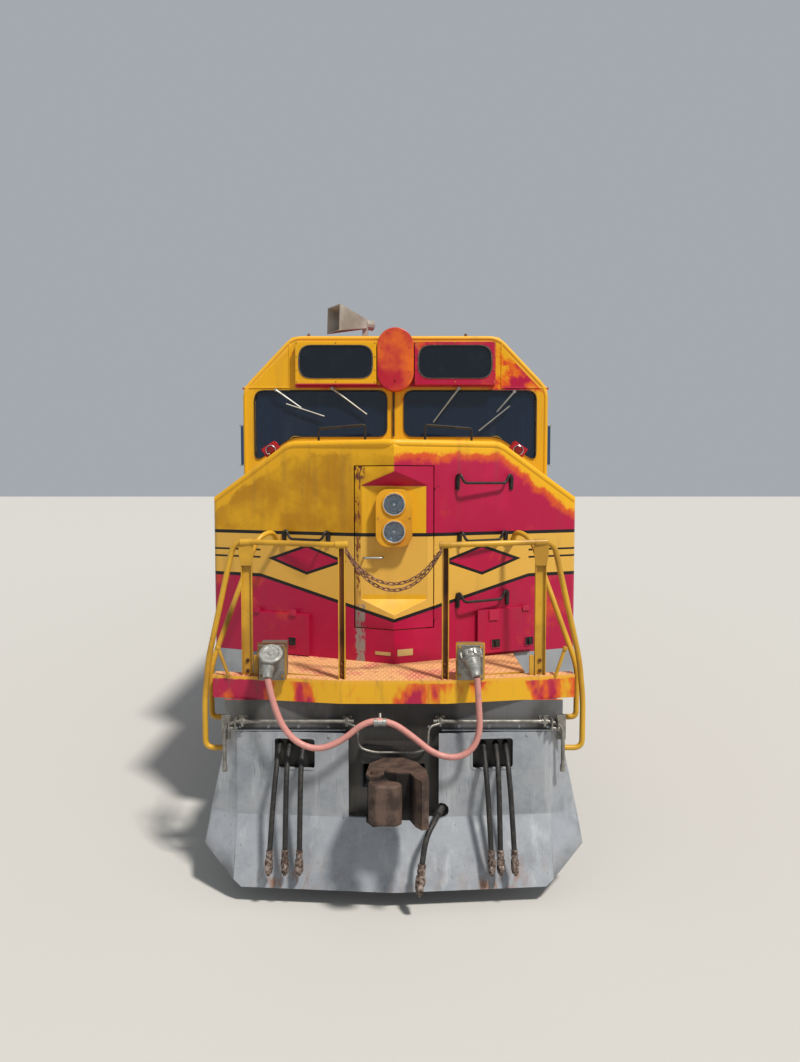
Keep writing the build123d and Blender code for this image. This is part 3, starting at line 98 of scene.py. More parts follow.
def facing(x, y, z, out=(0, -1, 0)):
    """A place at a point in millimetres whose Z looks along out, to the front unless told."""
    return at(x, y, z) @ Vector(out).to_track_quat("Z", "Y").to_matrix().to_4x4()


def spot(place, x, y, z):
    """A point in a place's own millimetres, as millimetres of the frame."""
    return place @ mm(x, y, z) * 1000


def span(side, a, b):
    """Two distances from the middle on one side, the lower value first."""
    return sorted((side * a, side * b))


def corners(x, z):
    """The four corners of an upright rectangle, from two x and two z values."""
    return [(x[0], z[0]), (x[1], z[0]), (x[1], z[1]), (x[0], z[1])]


def around(count, start=0.0):
    """Angles evenly spaced round a circle."""
    return [start + 2 * math.pi * i / count for i in range(count)]


def on_nose(x, z, out=0):
    """The point of the nose front at x and z, moved out from the sheet."""
    y = RIDGE_Y + abs(x) * math.tan(NOSE_TURN)
    away = Vector((math.copysign(math.sin(NOSE_TURN), x), -math.cos(NOSE_TURN), 0))
    return mm(x, y, z) + away * out / 1000


def nose_place(x, z, out=0):
    """A place on the nose front: local X runs outwards along the sheet, Y into it, Z up."""
    turn = Matrix.Rotation(math.copysign(NOSE_TURN, x), 4, "Z")
    return Matrix.Translation(on_nose(x, z, out)) @ turn


def at_side(side, x=BODY_HALF):
    """A place on a side wall: local X runs along the wall, -Y points outwards."""
    return at(side * x, 0, 0) @ Matrix.Rotation(side * math.pi / 2, 4, "Z")


print(f"each half of the nose is turned by {math.degrees(NOSE_TURN):.1f} degrees")

# %% [markdown]
# The picture was taken from about 3 m above the lowest points of the wheels, with its long side
# upright. That side is 36 mm on the sensor, and the focal length and the camera's place were
# worked out from sizes that such a locomotive is known to have.

# %% Camera
SENSOR_MM = 36
FOCAL_MM = 27.12
PITCH_DOWN = 3.505
FARTHEST_M = 300
camera_data = bpy.data.cameras.new("photo_camera")
camera_data.lens = FOCAL_MM
camera_data.sensor_width = SENSOR_MM
camera_data.clip_end = FARTHEST_M
camera = bpy.data.objects.new("photo_camera", camera_data)
bpy.context.scene.collection.objects.link(camera)
camera.location = (0.046, -16.119, 3.016)
camera.rotation_euler = (math.radians(90 - PITCH_DOWN), 0, 0)
bpy.context.scene.camera = camera
print("camera at", tuple(camera.location))

# %% [markdown]
# Materials are small node trees. One function adds a node, fills its sockets and hands back the
# output that is wanted. A hex code, as on a paint chart, is turned to linear light on its way
# in. Since an output knows its tree, a recipe can be read from top to bottom like a coat list.

# %% Node helpers
paints = {}


def hex_colour(code):
    """An sRGB hex code as linear red, green, blue and alpha."""
    parts = [int(code[i:i + 2], 16) / 255 for i in (1, 3, 5)]
    return (*[c / 12.92 if c <= 0.04045 else ((c + 0.055) / 1.055) ** 2.4 for c in parts], 1.0)


def add(kind, *values, tree=None, sockets=None, out=0, **settings):
    """Adds a node to the tree that its inputs come from, and returns one of its outputs.

    Values go to the sockets in order, sockets names others, and settings are the node's own.
    """
    inputs = {**dict(enumerate(values)), **(sockets or {})}
    linked = [v for v in inputs.values() if isinstance(v, bpy.types.NodeSocket)]
    tree = tree or linked[0].id_data
    node = tree.nodes.new("ShaderNode" + kind)
    for name, value in settings.items():
        setattr(node, name, value)
    for key, value in inputs.items():
        if isinstance(value, bpy.types.NodeSocket):
            tree.links.new(value, node.inputs[key])
        else:
            node.inputs[key].default_value = hex_colour(value) if isinstance(value, str) else value
    return node if out is None else node.outputs[out]


def new_paint(key, name):
    """Starts a material that a short key stands for, and returns its coordinates in metres."""
    paints[key] = bpy.data.materials.new(name)
    paints[key].use_nodes = True
    paints[key].node_tree.nodes.clear()
    print("finish", name)
    return add("TexCoord", tree=paints[key].node_tree, out="Object")


def close(colour, rough, bump=None, bump_mm=1.0, tree=None, **plain):
    """Ends a recipe with the surface shader; bump is a height from 0 to 1, bump_mm its depth."""
    sockets = {"Base Color": colour, "Roughness": rough}
    sockets.update({name.replace("_", " "): value for name, value in plain.items()})
    if bump is not None:
        sockets["Normal"] = add("Bump", sockets={"Height": bump, "Distance": bump_mm / 1000,
                                                 "Strength": 1.0})
    add("OutputMaterial", add("BsdfPrincipled", tree=tree, sockets=sockets), out=None)


def parts_of(vector):
    """The three parts of a vector."""
    return add("SeparateXYZ", vector, out=None).outputs


def cloudy(coords, size_mm, detail=3, stretch=(1, 1, 1), rough=0.55):
    """A cloudy pattern from 0 to 1 whose patches are about size_mm wide."""
    scaled = add("VectorMath", coords, stretch, operation="MULTIPLY")
    return add("TexNoise", sockets={"Vector": scaled, "Scale": 1000 / size_mm, "Detail": detail,
                                    "Roughness": rough})


def fade(value, low, high, to=(0, 1)):
    """A mask with a soft edge: to[0] up to low, to[1] from high on."""
    return add("MapRange", value, low, high, *to, interpolation_type="SMOOTHSTEP")


def times(first, *others):
    """Where all of several masks overlap: their product."""
    for other in others:
        first = add("Math", first, other, operation="MULTIPLY")
    return first


def over(below, above, *masks):
    """One coat laid over another where all the masks are 1."""
    return add("Mix", sockets={0: times(*masks), 6: below, 7: above}, out=2, data_type="RGBA")


YELLOW = "#D9A20E"
PALE_YELLOW = "#D4A545"
OCHRE = "#B88106"
CRIMSON = "#A80A3C"
ORANGE = "#D2560F"
SILVER = "#9EA1A6"
BLACK = "#101012"
GRIME = "#4A4238"
RUST = "#7A3F1E"
print("linear yellow", [round(c, 3) for c in hex_colour(YELLOW)])

# %% [markdown]
# The paint is a two-pack enamel that has stood in the sun for years. Sun bleaches the crimson to
# orange in clouds, rain draws grey streaks down the sheets, and the gloss is gone in patches.
# One function gives that weather to any colour, so that all the sheets belong together. Where a
# coat slopes off at a nose or a roof edge, the paint is cut in along it, so a second function
# measures down from such an edge.

# %% Weathered paint


def weathered(coords, colour, grime=0.35, rust=0.0, gloss=0.38):
    """Ends a painted colour's recipe with streaks, spots and uneven gloss."""
    streaks = cloudy(coords, 90, detail=4, stretch=(1, 1, 0.07))
    patches = cloudy(coords, 700, detail=4)
    colour = over(colour, GRIME, fade(streaks, 0.48, 0.72), fade(patches, 0.35, 0.7), grime)
    fine = cloudy(coords, 26, detail=5, rough=0.7)
    if rust:
        colour = over(colour, RUST, fade(fine, 0.6, 0.72), fade(patches, 0.42, 0.6), rust)
    height = add("Math", cloudy(coords, 320, detail=2), times(fine, 0.06), operation="ADD")
    close(colour, fade(patches, 0.3, 0.7, (gloss - 0.08, gloss + 0.2)), bump=height, bump_mm=5.0,
          Specular_IOR_Level=0.35)


def plain_paint(key, name, code, faded, **weather):
    """Paint of one colour, bleached in clouds towards a second one."""
    coords = new_paint(key, name)
    clouds = fade(cloudy(coords, 420, detail=4), 0.4, 0.68)
    weathered(coords, over(code, faded, clouds), **weather)


def below_edge(away, z, top, corner, lean):
    """How far a point is below a top edge that is level as far as a corner and then slopes off."""
    fall = add("Math", top, z, operation="SUBTRACT")
    beyond = add("Math", away, corner, operation="SUBTRACT")
    slope = add("Math", times(fall, lean[0]), times(beyond, lean[1]), operation="SUBTRACT")
    return add("Math", fall, slope, operation="MINIMUM")


print("weather: streaks 90 mm wide, patches 700 mm, spots 26 mm, waves in the sheet 320 mm")

# %% [markdown]
# The nose carries the livery. Above the band the left half is ochre and the right half is
# crimson, below it all is crimson, and a yellow edge runs round the top. The band has a level
# top and a lower edge that falls to the middle in a shallow V, between two black lines, with
# a long crimson lozenge and two pinstripes at each side. It is all drawn from distances in the
# frame, so the lines run across the door and its gap as a painter's masking tape would.

# %% Nose paint: colours and band
SHARP = 0.002
BAND_TOP = 2.600
BAND_SIDE = 2.240
BAND_MIDDLE = 1.933
BAND_TURN = 1.120
RECESS_HALF = 0.264
RECESS_TOP = 2.984
RECESS_FOOT = 2.13
DOOR_TOP = 3.146
coords = new_paint("nose", "nose_enamel")
x, y, z = parts_of(coords)
away = add("Math", x, operation="ABSOLUTE")
right = fade(x, -2 * SHARP, 2 * SHARP)
clouds = cloudy(coords, 520, detail=5, rough=0.62)
crimson = over(CRIMSON, ORANGE, fade(clouds, 0.56, 0.76, (0, 0.75)))
crimson = over(crimson, "#BC1448", fade(clouds, 0.3, 0.5, (0.6, 0)))
colour = over(over(OCHRE, YELLOW, fade(clouds, 0.4, 0.65)), crimson, right)
low = add("MapRange", away, 0.0, BAND_TURN, BAND_MIDDLE, BAND_SIDE)
above_low = add("Math", z, low, operation="SUBTRACT")
colour = over(colour, PALE_YELLOW, fade(z, BAND_TOP + SHARP, BAND_TOP - SHARP))
colour = over(colour, crimson, fade(above_low, SHARP, -SHARP))
sheet_y = add("Math", away, math.tan(NOSE_TURN), RIDGE_Y / 1000, operation="MULTIPLY_ADD")
behind = add("Math", y, sheet_y, operation="SUBTRACT")
recess = times(fade(away, RECESS_HALF, RECESS_HALF - 0.004), fade(behind, 0.004, 0.007))
colour = over(colour, YELLOW, recess, fade(z, BAND_TOP, BAND_TOP + SHARP),
              fade(z, RECESS_TOP, RECESS_TOP - SHARP))
colour = over(colour, CRIMSON, recess, fade(z, RECESS_TOP, RECESS_TOP + 2 * SHARP))
colour = over(colour, YELLOW, recess, fade(z, RECESS_FOOT, RECESS_FOOT - 0.01))

# %% [markdown]
# Hands and boots have worn the door's left edge to rust and bare grey, and the yellow edge at
# the top has flaked off in a ragged line. That yellow is drawn lighter than the yellow below,
# as a painted highlight on the rounded edge. The lozenge is a sum of two distances, each divided
# by its half length, and the black lines are laid on last.

# %% Nose paint: wear and lines
WING_MIDDLE = (0.715, 2.385)
WING_HALF = (0.34, 0.125)
LINE_HALF = 0.014
PINSTRIPES = (2.452, 2.391)
PINSTRIPE_HALF = 0.008
wear = cloudy(coords, 30, detail=4, stretch=(1, 1, 0.4), rough=0.7)
door_top = fade(z, DOOR_TOP, DOOR_TOP - 0.006)
colour = over(colour, RUST, fade(x, -0.322, -0.316), fade(x, -0.262, -0.27), door_top,
              fade(z, 2.0, 2.2), fade(wear, 0.5, 0.58))
door_left = times(fade(x, -0.316, -0.306), fade(x, -0.222, -0.24))
scuffed = fade(wear, 0.42, 0.5)
colour = over(colour, "#8F8580", door_left, fade(z, 2.06, 2.03), scuffed)
colour = over(colour, "#5A2C24", door_left, fade(z, 3.0, 3.06), door_top, scuffed)
edge = below_edge(away, z, top=3.342, corner=0.870, lean=(0.832, 0.555))
flakes = cloudy(coords, 130, detail=6, rough=0.7)
torn = times(add("Math", clouds, flakes, operation="ADD"), 0.13)
ragged = add("Math", edge, torn, operation="SUBTRACT")
colour = over(colour, ORANGE, right, fade(ragged, 0.06, 0.0, (0, 0.8)))
# Painted highlight: the yellow rim along the top edge is drawn lighter than the paint below.
colour = over(colour, "#E2A714", fade(ragged, 0.0, -0.045))
colour = over(colour, "#A3121C", fade(edge, -0.004, -0.008))
wing_x, wing_z = [add("Math", add("Math", part, middle, operation="SUBTRACT"),
                      operation="ABSOLUTE") for part, middle in zip((away, z), WING_MIDDLE)]
wing = add("Math", wing_x, 1 / WING_HALF[0], times(wing_z, 1 / WING_HALF[1]),
           operation="MULTIPLY_ADD")
colour = over(colour, BLACK, fade(wing, 1.0, 0.985))
colour = over(colour, crimson, fade(wing, 0.80, 0.785))
lines = [add("Math", z, BAND_TOP, LINE_HALF, operation="COMPARE"),
         add("Math", above_low, 0.0, LINE_HALF, operation="COMPARE")]
outside = fade(away, BAND_TURN - 0.001, BAND_TURN + 0.001)
lines += [times(add("Math", z, height, PINSTRIPE_HALF, operation="COMPARE"), outside)
          for height in PINSTRIPES]
front = fade(y, -7.9, -7.95)
for line in lines:
    colour = over(colour, BLACK, line, front)
weathered(coords, colour, grime=0.3, rust=0.15)
print(len(lines), "black lines on the nose")

# %% [markdown]
# The cab front was painted over more than once: yellow with crimson showing through on the
# right, round the boards and under the eaves. Clouds of noise, weighted by the side and the
# height, stand for the layers that come through. Along the ragged top edge runs a yellow rim,
# drawn lighter than the cab's yellow as a painted highlight on the rounded edge.

# %% Cab paint
coords = new_paint("cab", "cab_enamel")
x, y, z = parts_of(coords)
clouds = cloudy(coords, 380, detail=5, rough=0.65)
bias = times(fade(x, -0.15, 0.55), fade(z, 3.75, 4.05), 0.17)
worn = add("Math", clouds, bias, operation="ADD")
colour = over(YELLOW, ORANGE, fade(worn, 0.60, 0.70))
colour = over(colour, CRIMSON, fade(worn, 0.68, 0.76))
colour = over(colour, CRIMSON, fade(x, 0.02, 0.06), fade(x, 1.03, 0.99), fade(z, 3.96, 4.0),
              fade(z, 4.50, 4.44), fade(clouds, 0.62, 0.5))
colour = over(colour, CRIMSON, fade(z, 4.02, 4.0), fade(z, 3.965, 3.985), fade(x, 0.0, -0.04),
              fade(x, -1.05, -1.0))
edge = below_edge(add("Math", x, operation="ABSOLUTE"), z, top=ROOF_Z / 1000, corner=1.05,
                  lean=(0.697, 0.717))
ragged = add("Math", edge, times(clouds, 0.05), operation="SUBTRACT")
# Painted highlight: a lighter yellow rim along the rounded top edge of the cab front.
colour = over(colour, "#E4AC2E", fade(ragged, 0.035, 0.02))
weathered(coords, colour, grime=0.25, rust=0.1)

# %% [markdown]
# Behind the cab front the livery is silver-grey. A crimson field ends on a slanting line with a
# yellow and a black pinstripe, all straight, worked out from y and z so that it passes over the
# seams of cab and body. Each bay between two seams has a slightly different grey, as its sheet
# was painted at another time.

# %% Side paint
SLANT_START = -7.30
SLANT_RUN = 1.5
SLANT_STRIPE = 0.09
FIRST_SEAM = -2550
SEAM_PITCH = 1350
coords = new_paint("side", "side_enamel")
x, y, z = parts_of(coords)
lean = times(add("Math", z, SILL_Z / 1000, operation="SUBTRACT"), SLANT_RUN)
line = add("Math", add("Math", y, SLANT_START, operation="SUBTRACT"), lean, operation="SUBTRACT")
clouds = cloudy(coords, 600, detail=4, stretch=(1, 1, 0.4))
bay = add("Math", y, 1000 / SEAM_PITCH, -FIRST_SEAM / SEAM_PITCH, operation="MULTIPLY_ADD")
bay = add("Math", bay, operation="FLOOR")
tone = add("TexWhiteNoise", sockets={"W": bay}, noise_dimensions="1D")
steel = over(SILVER, "#93979B", fade(clouds, 0.4, 0.75))
steel = over(steel, "#8B8F93", tone, 0.35)
crimson = over(CRIMSON, "#A82638", fade(clouds, 0.45, 0.7, (0, 0.7)))
colour = over(steel, crimson, fade(line, SHARP, -SHARP))
for middle, half, code in ((1, 1, YELLOW), (2.4, 0.25, BLACK)):
    stripe = add("Math", line, middle * SLANT_STRIPE, half * SLANT_STRIPE, operation="COMPARE")
    colour = over(colour, code, stripe)
weathered(coords, colour, grime=0.4, rust=0.06, gloss=0.42)

# %% [markdown]
# The platform beam was yellow over crimson too, and boots and couplings have worn it through,
# so both show in broad clouds, with rust at the lower edge. Its top is tread plate. The real
# bars are about 15 mm apart, too fine for this picture, so they are drawn twice as coarse or
# more, as the product of two waves. The end plate below is dark grey with brake dust, darker in
# the middle behind the coupler, and painted near black, as painted shade, where it shows
# through the two hose windows.

# %% Platform paint
TREAD_X_MM = 40
TREAD_Y_MM = 120
coords = new_paint("platform", "platform_enamel")
x, y, z = parts_of(coords)
away = add("Math", x, operation="ABSOLUTE")
clouds = cloudy(coords, 330, detail=4, stretch=(1, 1, 0.5), rough=0.6)
layers = add("Math", clouds, fade(away, 0.5, 1.2, (0, 0.06)), operation="ADD")
colour = over(YELLOW, ORANGE, fade(layers, 0.47, 0.56))
colour = over(colour, CRIMSON, fade(layers, 0.54, 0.62))
lip = add("Math", z, times(cloudy(coords, 80, detail=4), 0.03), operation="ADD")
colour = over(colour, "#DDA32C", fade(lip, 1.578, 1.590))
up = parts_of(add("NewGeometry", tree=coords.id_data, out="Normal"))[2]
top = times(fade(up, 0.5, 0.9), fade(z, 1.58, 1.59))
colour = over(colour, over("#DDA56E", "#C9705E", fade(clouds, 0.45, 0.62)), top)
grey = over("#606061", "#454340", fade(clouds, 0.4, 0.65))
grey = over(grey, "#262321", fade(away, 0.52, 0.42, (0, 0.85)))
colour = over(colour, grey, fade(z, 1.424, 1.421))
# Painted shade: near black on the end plate where it shows through the two hose windows.
colour = over(colour, "#0D0C0B", fade(away, 0.54, 0.57), fade(away, 0.91, 0.88),
              fade(z, 1.19, 1.17), fade(z, 0.88, 0.91))
waves = [add("Math", times(part, 2 * math.pi * 1000 / pitch), operation="SINE")
         for part, pitch in ((x, TREAD_X_MM), (y, TREAD_Y_MM))]
tread = times(fade(times(*waves), -0.1, 0.5), top)
colour = over(colour, "#F2CB94", tread, 0.45)
streaks = cloudy(coords, 60, detail=4, stretch=(1, 1, 0.12))
colour = over(colour, GRIME, fade(streaks, 0.52, 0.75, (0, 0.45)))
close(colour, fade(clouds, 0.3, 0.7, (0.38, 0.6)), bump=tread, bump_mm=3.0)

# %% [markdown]
# The pilot is plate steel in silver paint. Dust and wheel spray leave it blotched, and rust
# bleeds from its lower edge and from behind the hose couplings, so the rust mask grows stronger
# downwards and below each group of hoses.

# %% Pilot paint
HOSES_AT = 0.76
coords = new_paint("pilot", "pilot_silver_paint")
x, y, z = parts_of(coords)
clouds = cloudy(coords, 260, detail=5, rough=0.65)
colour = over("#9CA0A6", "#868B92", fade(clouds, 0.4, 0.7))
runs = cloudy(coords, 110, detail=5, stretch=(1, 1, 0.14), rough=0.65)
colour = over(colour, "#BFC2C4", fade(runs, 0.52, 0.7, (0, 0.45)))
streaks = cloudy(coords, 70, detail=5, stretch=(1, 1, 0.2), rough=0.7)
away = add("Math", x, operation="ABSOLUTE")
from_hoses = add("Math", add("Math", away, HOSES_AT, operation="SUBTRACT"), operation="ABSOLUTE")
colour = over(colour, "#8A5A36", fade(z, 0.46, 0.13), fade(streaks, 0.46, 0.68),
              fade(from_hoses, 0.24, 0.1, (0.25, 1)), 0.8)
scratches = cloudy(coords, 14, detail=2, stretch=(1, 1, 0.06))
colour = over(colour, "#55575A", fade(scratches, 0.66, 0.74, (0, 0.5)))
dents = cloudy(coords, 240, detail=1)
close(colour, fade(clouds, 0.3, 0.7, (0.36, 0.6)), bump=dents, bump_mm=9.0, Metallic=0.25)

# %% [markdown]
# Running gear is cast and forged steel under brake dust and oil: nearly black, brown where it
# rusts, with a grain from the sand mould. The real grain is 1 mm or less, so it is drawn as
# clouds of 9 mm. Towards the throat, behind their pulling faces, the couplers are painted near
# black as painted shade.

# %% Steel and iron
GRAIN_MM = 9
PULLING_FACE = 11.025


def iron(coords, colour, clouds, grain_mm, metal, rough):
    """Ends an iron's recipe with a sandy grain."""
    close(colour, fade(clouds, 0.3, 0.7, (rough + 0.1, rough - 0.1)),
          bump=cloudy(coords, GRAIN_MM, detail=4, rough=0.7), bump_mm=grain_mm, Metallic=metal)


def casting(key, name, dark, light, size_mm=60, grain_mm=1.2, metal=0.3, rough=0.72):
    """Cast or rolled steel in two tones."""
    coords = new_paint(key, name)
    clouds = cloudy(coords, size_mm, detail=5, rough=0.65)
    iron(coords, over(dark, light, fade(clouds, 0.38, 0.66)), clouds, grain_mm, metal, rough)


coords = new_paint("coupler", "rusted_cast_steel")
x, y, z = parts_of(coords)
clouds = cloudy(coords, 90, detail=5, rough=0.65)
colour = over("#3A2C26", "#5E4A40", fade(clouds, 0.36, 0.64))
# Painted shade: near black towards the throat, deeper behind the pulling face.
deep = add("Math", PULLING_FACE, add("Math", y, operation="ABSOLUTE"), operation="SUBTRACT")
colour = over(colour, "#0A0807", fade(deep, 0.06, 0.14, (0, 0.92)), fade(z, 1.066, 1.05))
iron(coords, colour, clouds, 1.2, 0.15, 0.7)

# %% [markdown]
# Hoses and gaskets are moulded rubber: dull, with dust in their low places and the print of the
# cloth that they were cured in, whose folds are about 4 mm apart. The windows are
# laminated safety glass with a grey-blue tint. The cab behind them is darker than the day
# outside, so the glass keeps some transmission and a sharp reflection. Plated and anodised
# fittings are metals with a thin, uneven dust.

# %% Rubber, glass and plated metal


def rubber(key, name, code, dusty, rough=0.55):
    """Hose rubber with dust in its low places."""
    coords = new_paint(key, name)
    clouds = cloudy(coords, 45, detail=5, rough=0.7)
    close(over(code, dusty, fade(clouds, 0.45, 0.75)),
          fade(clouds, 0.3, 0.7, (rough - 0.1, rough + 0.15)), bump=cloudy(coords, 4, detail=2),
          bump_mm=0.4)


def glass(key, name, tint, through=0.9, rough=0.03):
    """Glass with light streaks: a film of dust that rain has streaked, and a painted reflection.
    """
    coords = new_paint(key, name)
    # The light streaks are a film of dust and also a painted reflection.
    dust = cloudy(coords, 180, detail=4, stretch=(1, 1, 0.12))
    close(over(tint, "#9DB0C0", fade(dust, 0.55, 0.8, (0, 0.3))),
          fade(dust, 0.45, 0.8, (rough, rough + 0.12)), Transmission_Weight=through, IOR=1.5)


def smooth(key, name, code, rough=0.3, metal=0.0, speck="#808080", amount=0.15):
    """Moulded plastic, enamel or plated metal with a little uneven dust."""
    coords = new_paint(key, name)
    clouds = cloudy(coords, 80, detail=4)
    close(over(code, speck, fade(clouds, 0.5, 0.8, (0, amount))),
          fade(clouds, 0.3, 0.7, (rough, rough + 0.15)), Metallic=metal)


plain_paint("silver", "silver_enamel", "#9C9FA3", "#8E9195", grime=0.3, rust=0.05, gloss=0.42)
plain_paint("yellow", "yellow_enamel", "#D79A16", "#B9791A", grime=0.3, rust=0.5)
plain_paint("mustard", "mustard_enamel", "#CB9C2A", "#AC7F28", grime=0.35, rust=0.7)
plain_paint("post_rust", "rusted_enamel", "#7A4A24", "#3C2416", grime=0.5, rust=0.9, gloss=0.6)
plain_paint("worn_yellow", "worn_yellow_enamel", "#B98A2A", "#5B3320", grime=0.5, rust=0.9,
            gloss=0.55)
plain_paint("oval", "sun_faded_enamel", "#A8182F", "#D8681A", grime=0.1)
plain_paint("crimson", "crimson_enamel", "#A80E3C", "#B02042", grime=0.2)
plain_paint("cream", "cream_enamel", "#D8BE80", "#B59A62", grime=0.4)
plain_paint("engine", "machinery_enamel", "#5F6A6C", "#4C5558", grime=0.6)
plain_paint("horn", "weathered_fibreglass", "#ABA59B", "#857E74", grime=0.6, gloss=0.6)
casting("black", "black_iron", "#131313", "#2A2622", metal=0.1, rough=0.5, grain_mm=0.5)
casting("dark", "truck_steel", "#1D1A18", "#3B332C", size_mm=220)
casting("rusty", "rusty_casting", "#2C1F19", "#553A2A", size_mm=70)
casting("wheel", "rolled_steel", "#4A3A30", "#6A5646", size_mm=90, rough=0.6)
casting("tread", "bright_steel", "#8C8A86", "#A6A39D", metal=0.9, rough=0.3, grain_mm=0.2)
casting("steel", "dull_steel", "#77746F", "#98948C", metal=0.7, rough=0.5, grain_mm=0.5)
casting("coupling", "rusted_malleable_iron", "#3C2A22", "#94857B", size_mm=26, rough=0.6)
casting("chain", "rusted_chain_wire", "#6A4636", "#966C58", size_mm=40, rough=0.6)
casting("cast", "cast_aluminium", "#80807C", "#A9A9A4", size_mm=36, metal=0.5, rough=0.5,
        grain_mm=0.6)
rubber("pink", "pink_rubber", "#C6867E", "#A87A72", rough=0.5)
rubber("hose", "black_rubber", "#1B1A1A", "#3E3934")
rubber("gasket", "gasket_rubber", "#141415", "#2C2C2E")
rubber("rim", "weathered_rubber", "#3B3733", "#6B655C")
rubber("vinyl", "seat_vinyl", "#2A2522", "#3B342F", rough=0.45)
glass("glass", "laminated_glass", "#4A6892")
# Painted shade: the door panes are opaque and dark, standing for the shaded room behind.
glass("glass_dark", "door_glass_painted_shade", "#1B2730", through=0.0, rough=0.04)
glass("red_glass", "lamp_lens", "#8E0F14", through=0.3)
glass("lens", "lamp_glass", "#E4EEF6", through=0.97)
smooth("board", "sign_acrylic", "#0B1420", rough=0.08, speck="#27313D")
smooth("mirror", "lamp_mirror", "#5D6E80", rough=0.08, metal=1.0, amount=0.0)
smooth("chrome", "chrome_plate", "#C9CBCD", rough=0.12, metal=1.0)
smooth("aluminium", "anodised_aluminium", "#B4B6B8", rough=0.3, metal=0.95)
smooth("stainless", "stainless_steel", "#A9ABAC", rough=0.28, metal=1.0, speck="#6F6A62",
       amount=0.4)
smooth("zinc", "zinc_plate", "#A8A9A6", rough=0.35, metal=0.9, speck="#6A655C", amount=0.5)
smooth("inside", "cab_lining", "#6F7772", rough=0.6)
print(len(paints), "finishes")

# %% [markdown]
# The CAD nodes that already have the right shape only need a finish. A weld, a planar decimate
# and a small bevel, as modifiers, give their folded and cast edges the soft line that catches
# light on the real sheets.

# %% Finish the CAD nodes
NODE_FINISH = {
    "nose": ("nose_shell", "nose_door"),
    "cab": ("cab_front_wall", "number_boards"),
    "side": ("cab_side_walls", "side_walls", "left_side_door", "right_side_door", "cab_roof"),
    "silver": ("roof_hatches", "rear_walls", "rear_door", "underframe", "rear_pilot"),
    "pilot": ("front_pilot",),
    "platform": ("front_platform",),
    "yellow": ("headlight",),
    "oval": ("oval_cover",),
    "engine": ("engine_block",),
    "inside": ("cab_floor",),
    "dark": ("front_truck_frame", "rear_truck_frame", "front_truck_gear", "rear_truck_gear",
             "fuel_tank", "air_reservoirs", "side_grilles"),
    "coupler": ("coupler_bodies", "coupler_knuckles"),
    "horn": ("loudspeaker",),
    "vinyl": ("cab_fittings",),
    "steel": ("mu_receptacles", "fan_1", "fan_2", "fan_3", "fan_4", "fan_5"),
}
BEVEL_MM = {"nose_shell": 0, "cab_side_walls": 0, "side_grilles": 0, "coupler_bodies": 12,
            "coupler_knuckles": 14, "oval_cover": 10, "headlight": 6, "fuel_tank": 20}
USUAL_BEVEL_MM = 5
WELD_MM = 0.05
SHARP_ANGLE = math.radians(35)


def soften(item, width_mm, triangulated=False):
    """Rounds an object's edges with modifiers, leaving its own mesh as it is."""
    weld = item.modifiers.new("weld", "WELD")
    weld.merge_threshold = WELD_MM / 1000
    if triangulated:
        flat = item.modifiers.new("flat", "DECIMATE")
        flat.decimate_type = "DISSOLVE"
        flat.angle_limit = math.radians(1)
    bevel = item.modifiers.new("edges", "BEVEL")
    bevel.width = width_mm / 1000
    bevel.segments = 2
    bevel.limit_method = "ANGLE"
    bevel.angle_limit = SHARP_ANGLE


for finish, names in NODE_FINISH.items():
    for name in names:
        node = nodes[name]
        node.data.materials.clear()
        node.data.materials.append(paints[finish])
        width = BEVEL_MM.get(name, USUAL_BEVEL_MM)
        if width:
            soften(node, width, triangulated=True)
print("finished", sum(len(names) for names in NODE_FINISH.values()), "CAD nodes")

# %% [markdown]
# Everything else is modelled here on top of the frame. A piece is a mesh or a curve that rides
# on a body, and may stand for a plainer CAD node. Small helpers make boxes, round bars, turned
# shapes and plates in millimetres, so each piece below is a short list of real sizes.

# %% Piece helpers


def put(name, data, body="locomotive", replaced=None):
    """Puts a mesh or a curve in the scene as a piece that rides on a body."""
    item = bpy.data.objects.new(name, data)
    bpy.context.scene.collection.objects.link(item)
    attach(item, body)
    if replaced:
        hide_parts(replaced)
    print("piece", name)
    return item


def show(name, shape, finish, body="locomotive", replaced=None, edges=0):
    """Turns a bmesh into a piece, with edges softened by so many millimetres."""
    mesh = bpy.data.meshes.new(name)
    bmesh.ops.recalc_face_normals(shape, faces=shape.faces)
    shape.to_mesh(mesh)
    shape.free()
    for key in [finish] if isinstance(finish, str) else finish:
        mesh.materials.append(paints[key])
    mesh.shade_smooth()
    mesh.set_sharp_from_angle(angle=SHARP_ANGLE)
    item = put(name, mesh, body, replaced)
    if edges:
        soften(item, edges)
    return item


def round_curve(name, radius, finish, roundness=3, caps=True):
    """An empty curve with a round section."""
    curve = bpy.data.curves.new(name, "CURVE")
    curve.dimensions = "3D"
    curve.bevel_depth = radius / 1000
    curve.bevel_resolution = roundness
    curve.use_fill_caps = caps
    curve.materials.append(paints[finish])
    return curve


def lay(curve, points, kind="POLY"):
    """Lays one run of a curve through points in metres."""
    run = curve.splines.new(kind)
    run.points.add(len(points) - 1)
    for place, point in zip(run.points, points):
        place.co = (*point, 1)
    return run


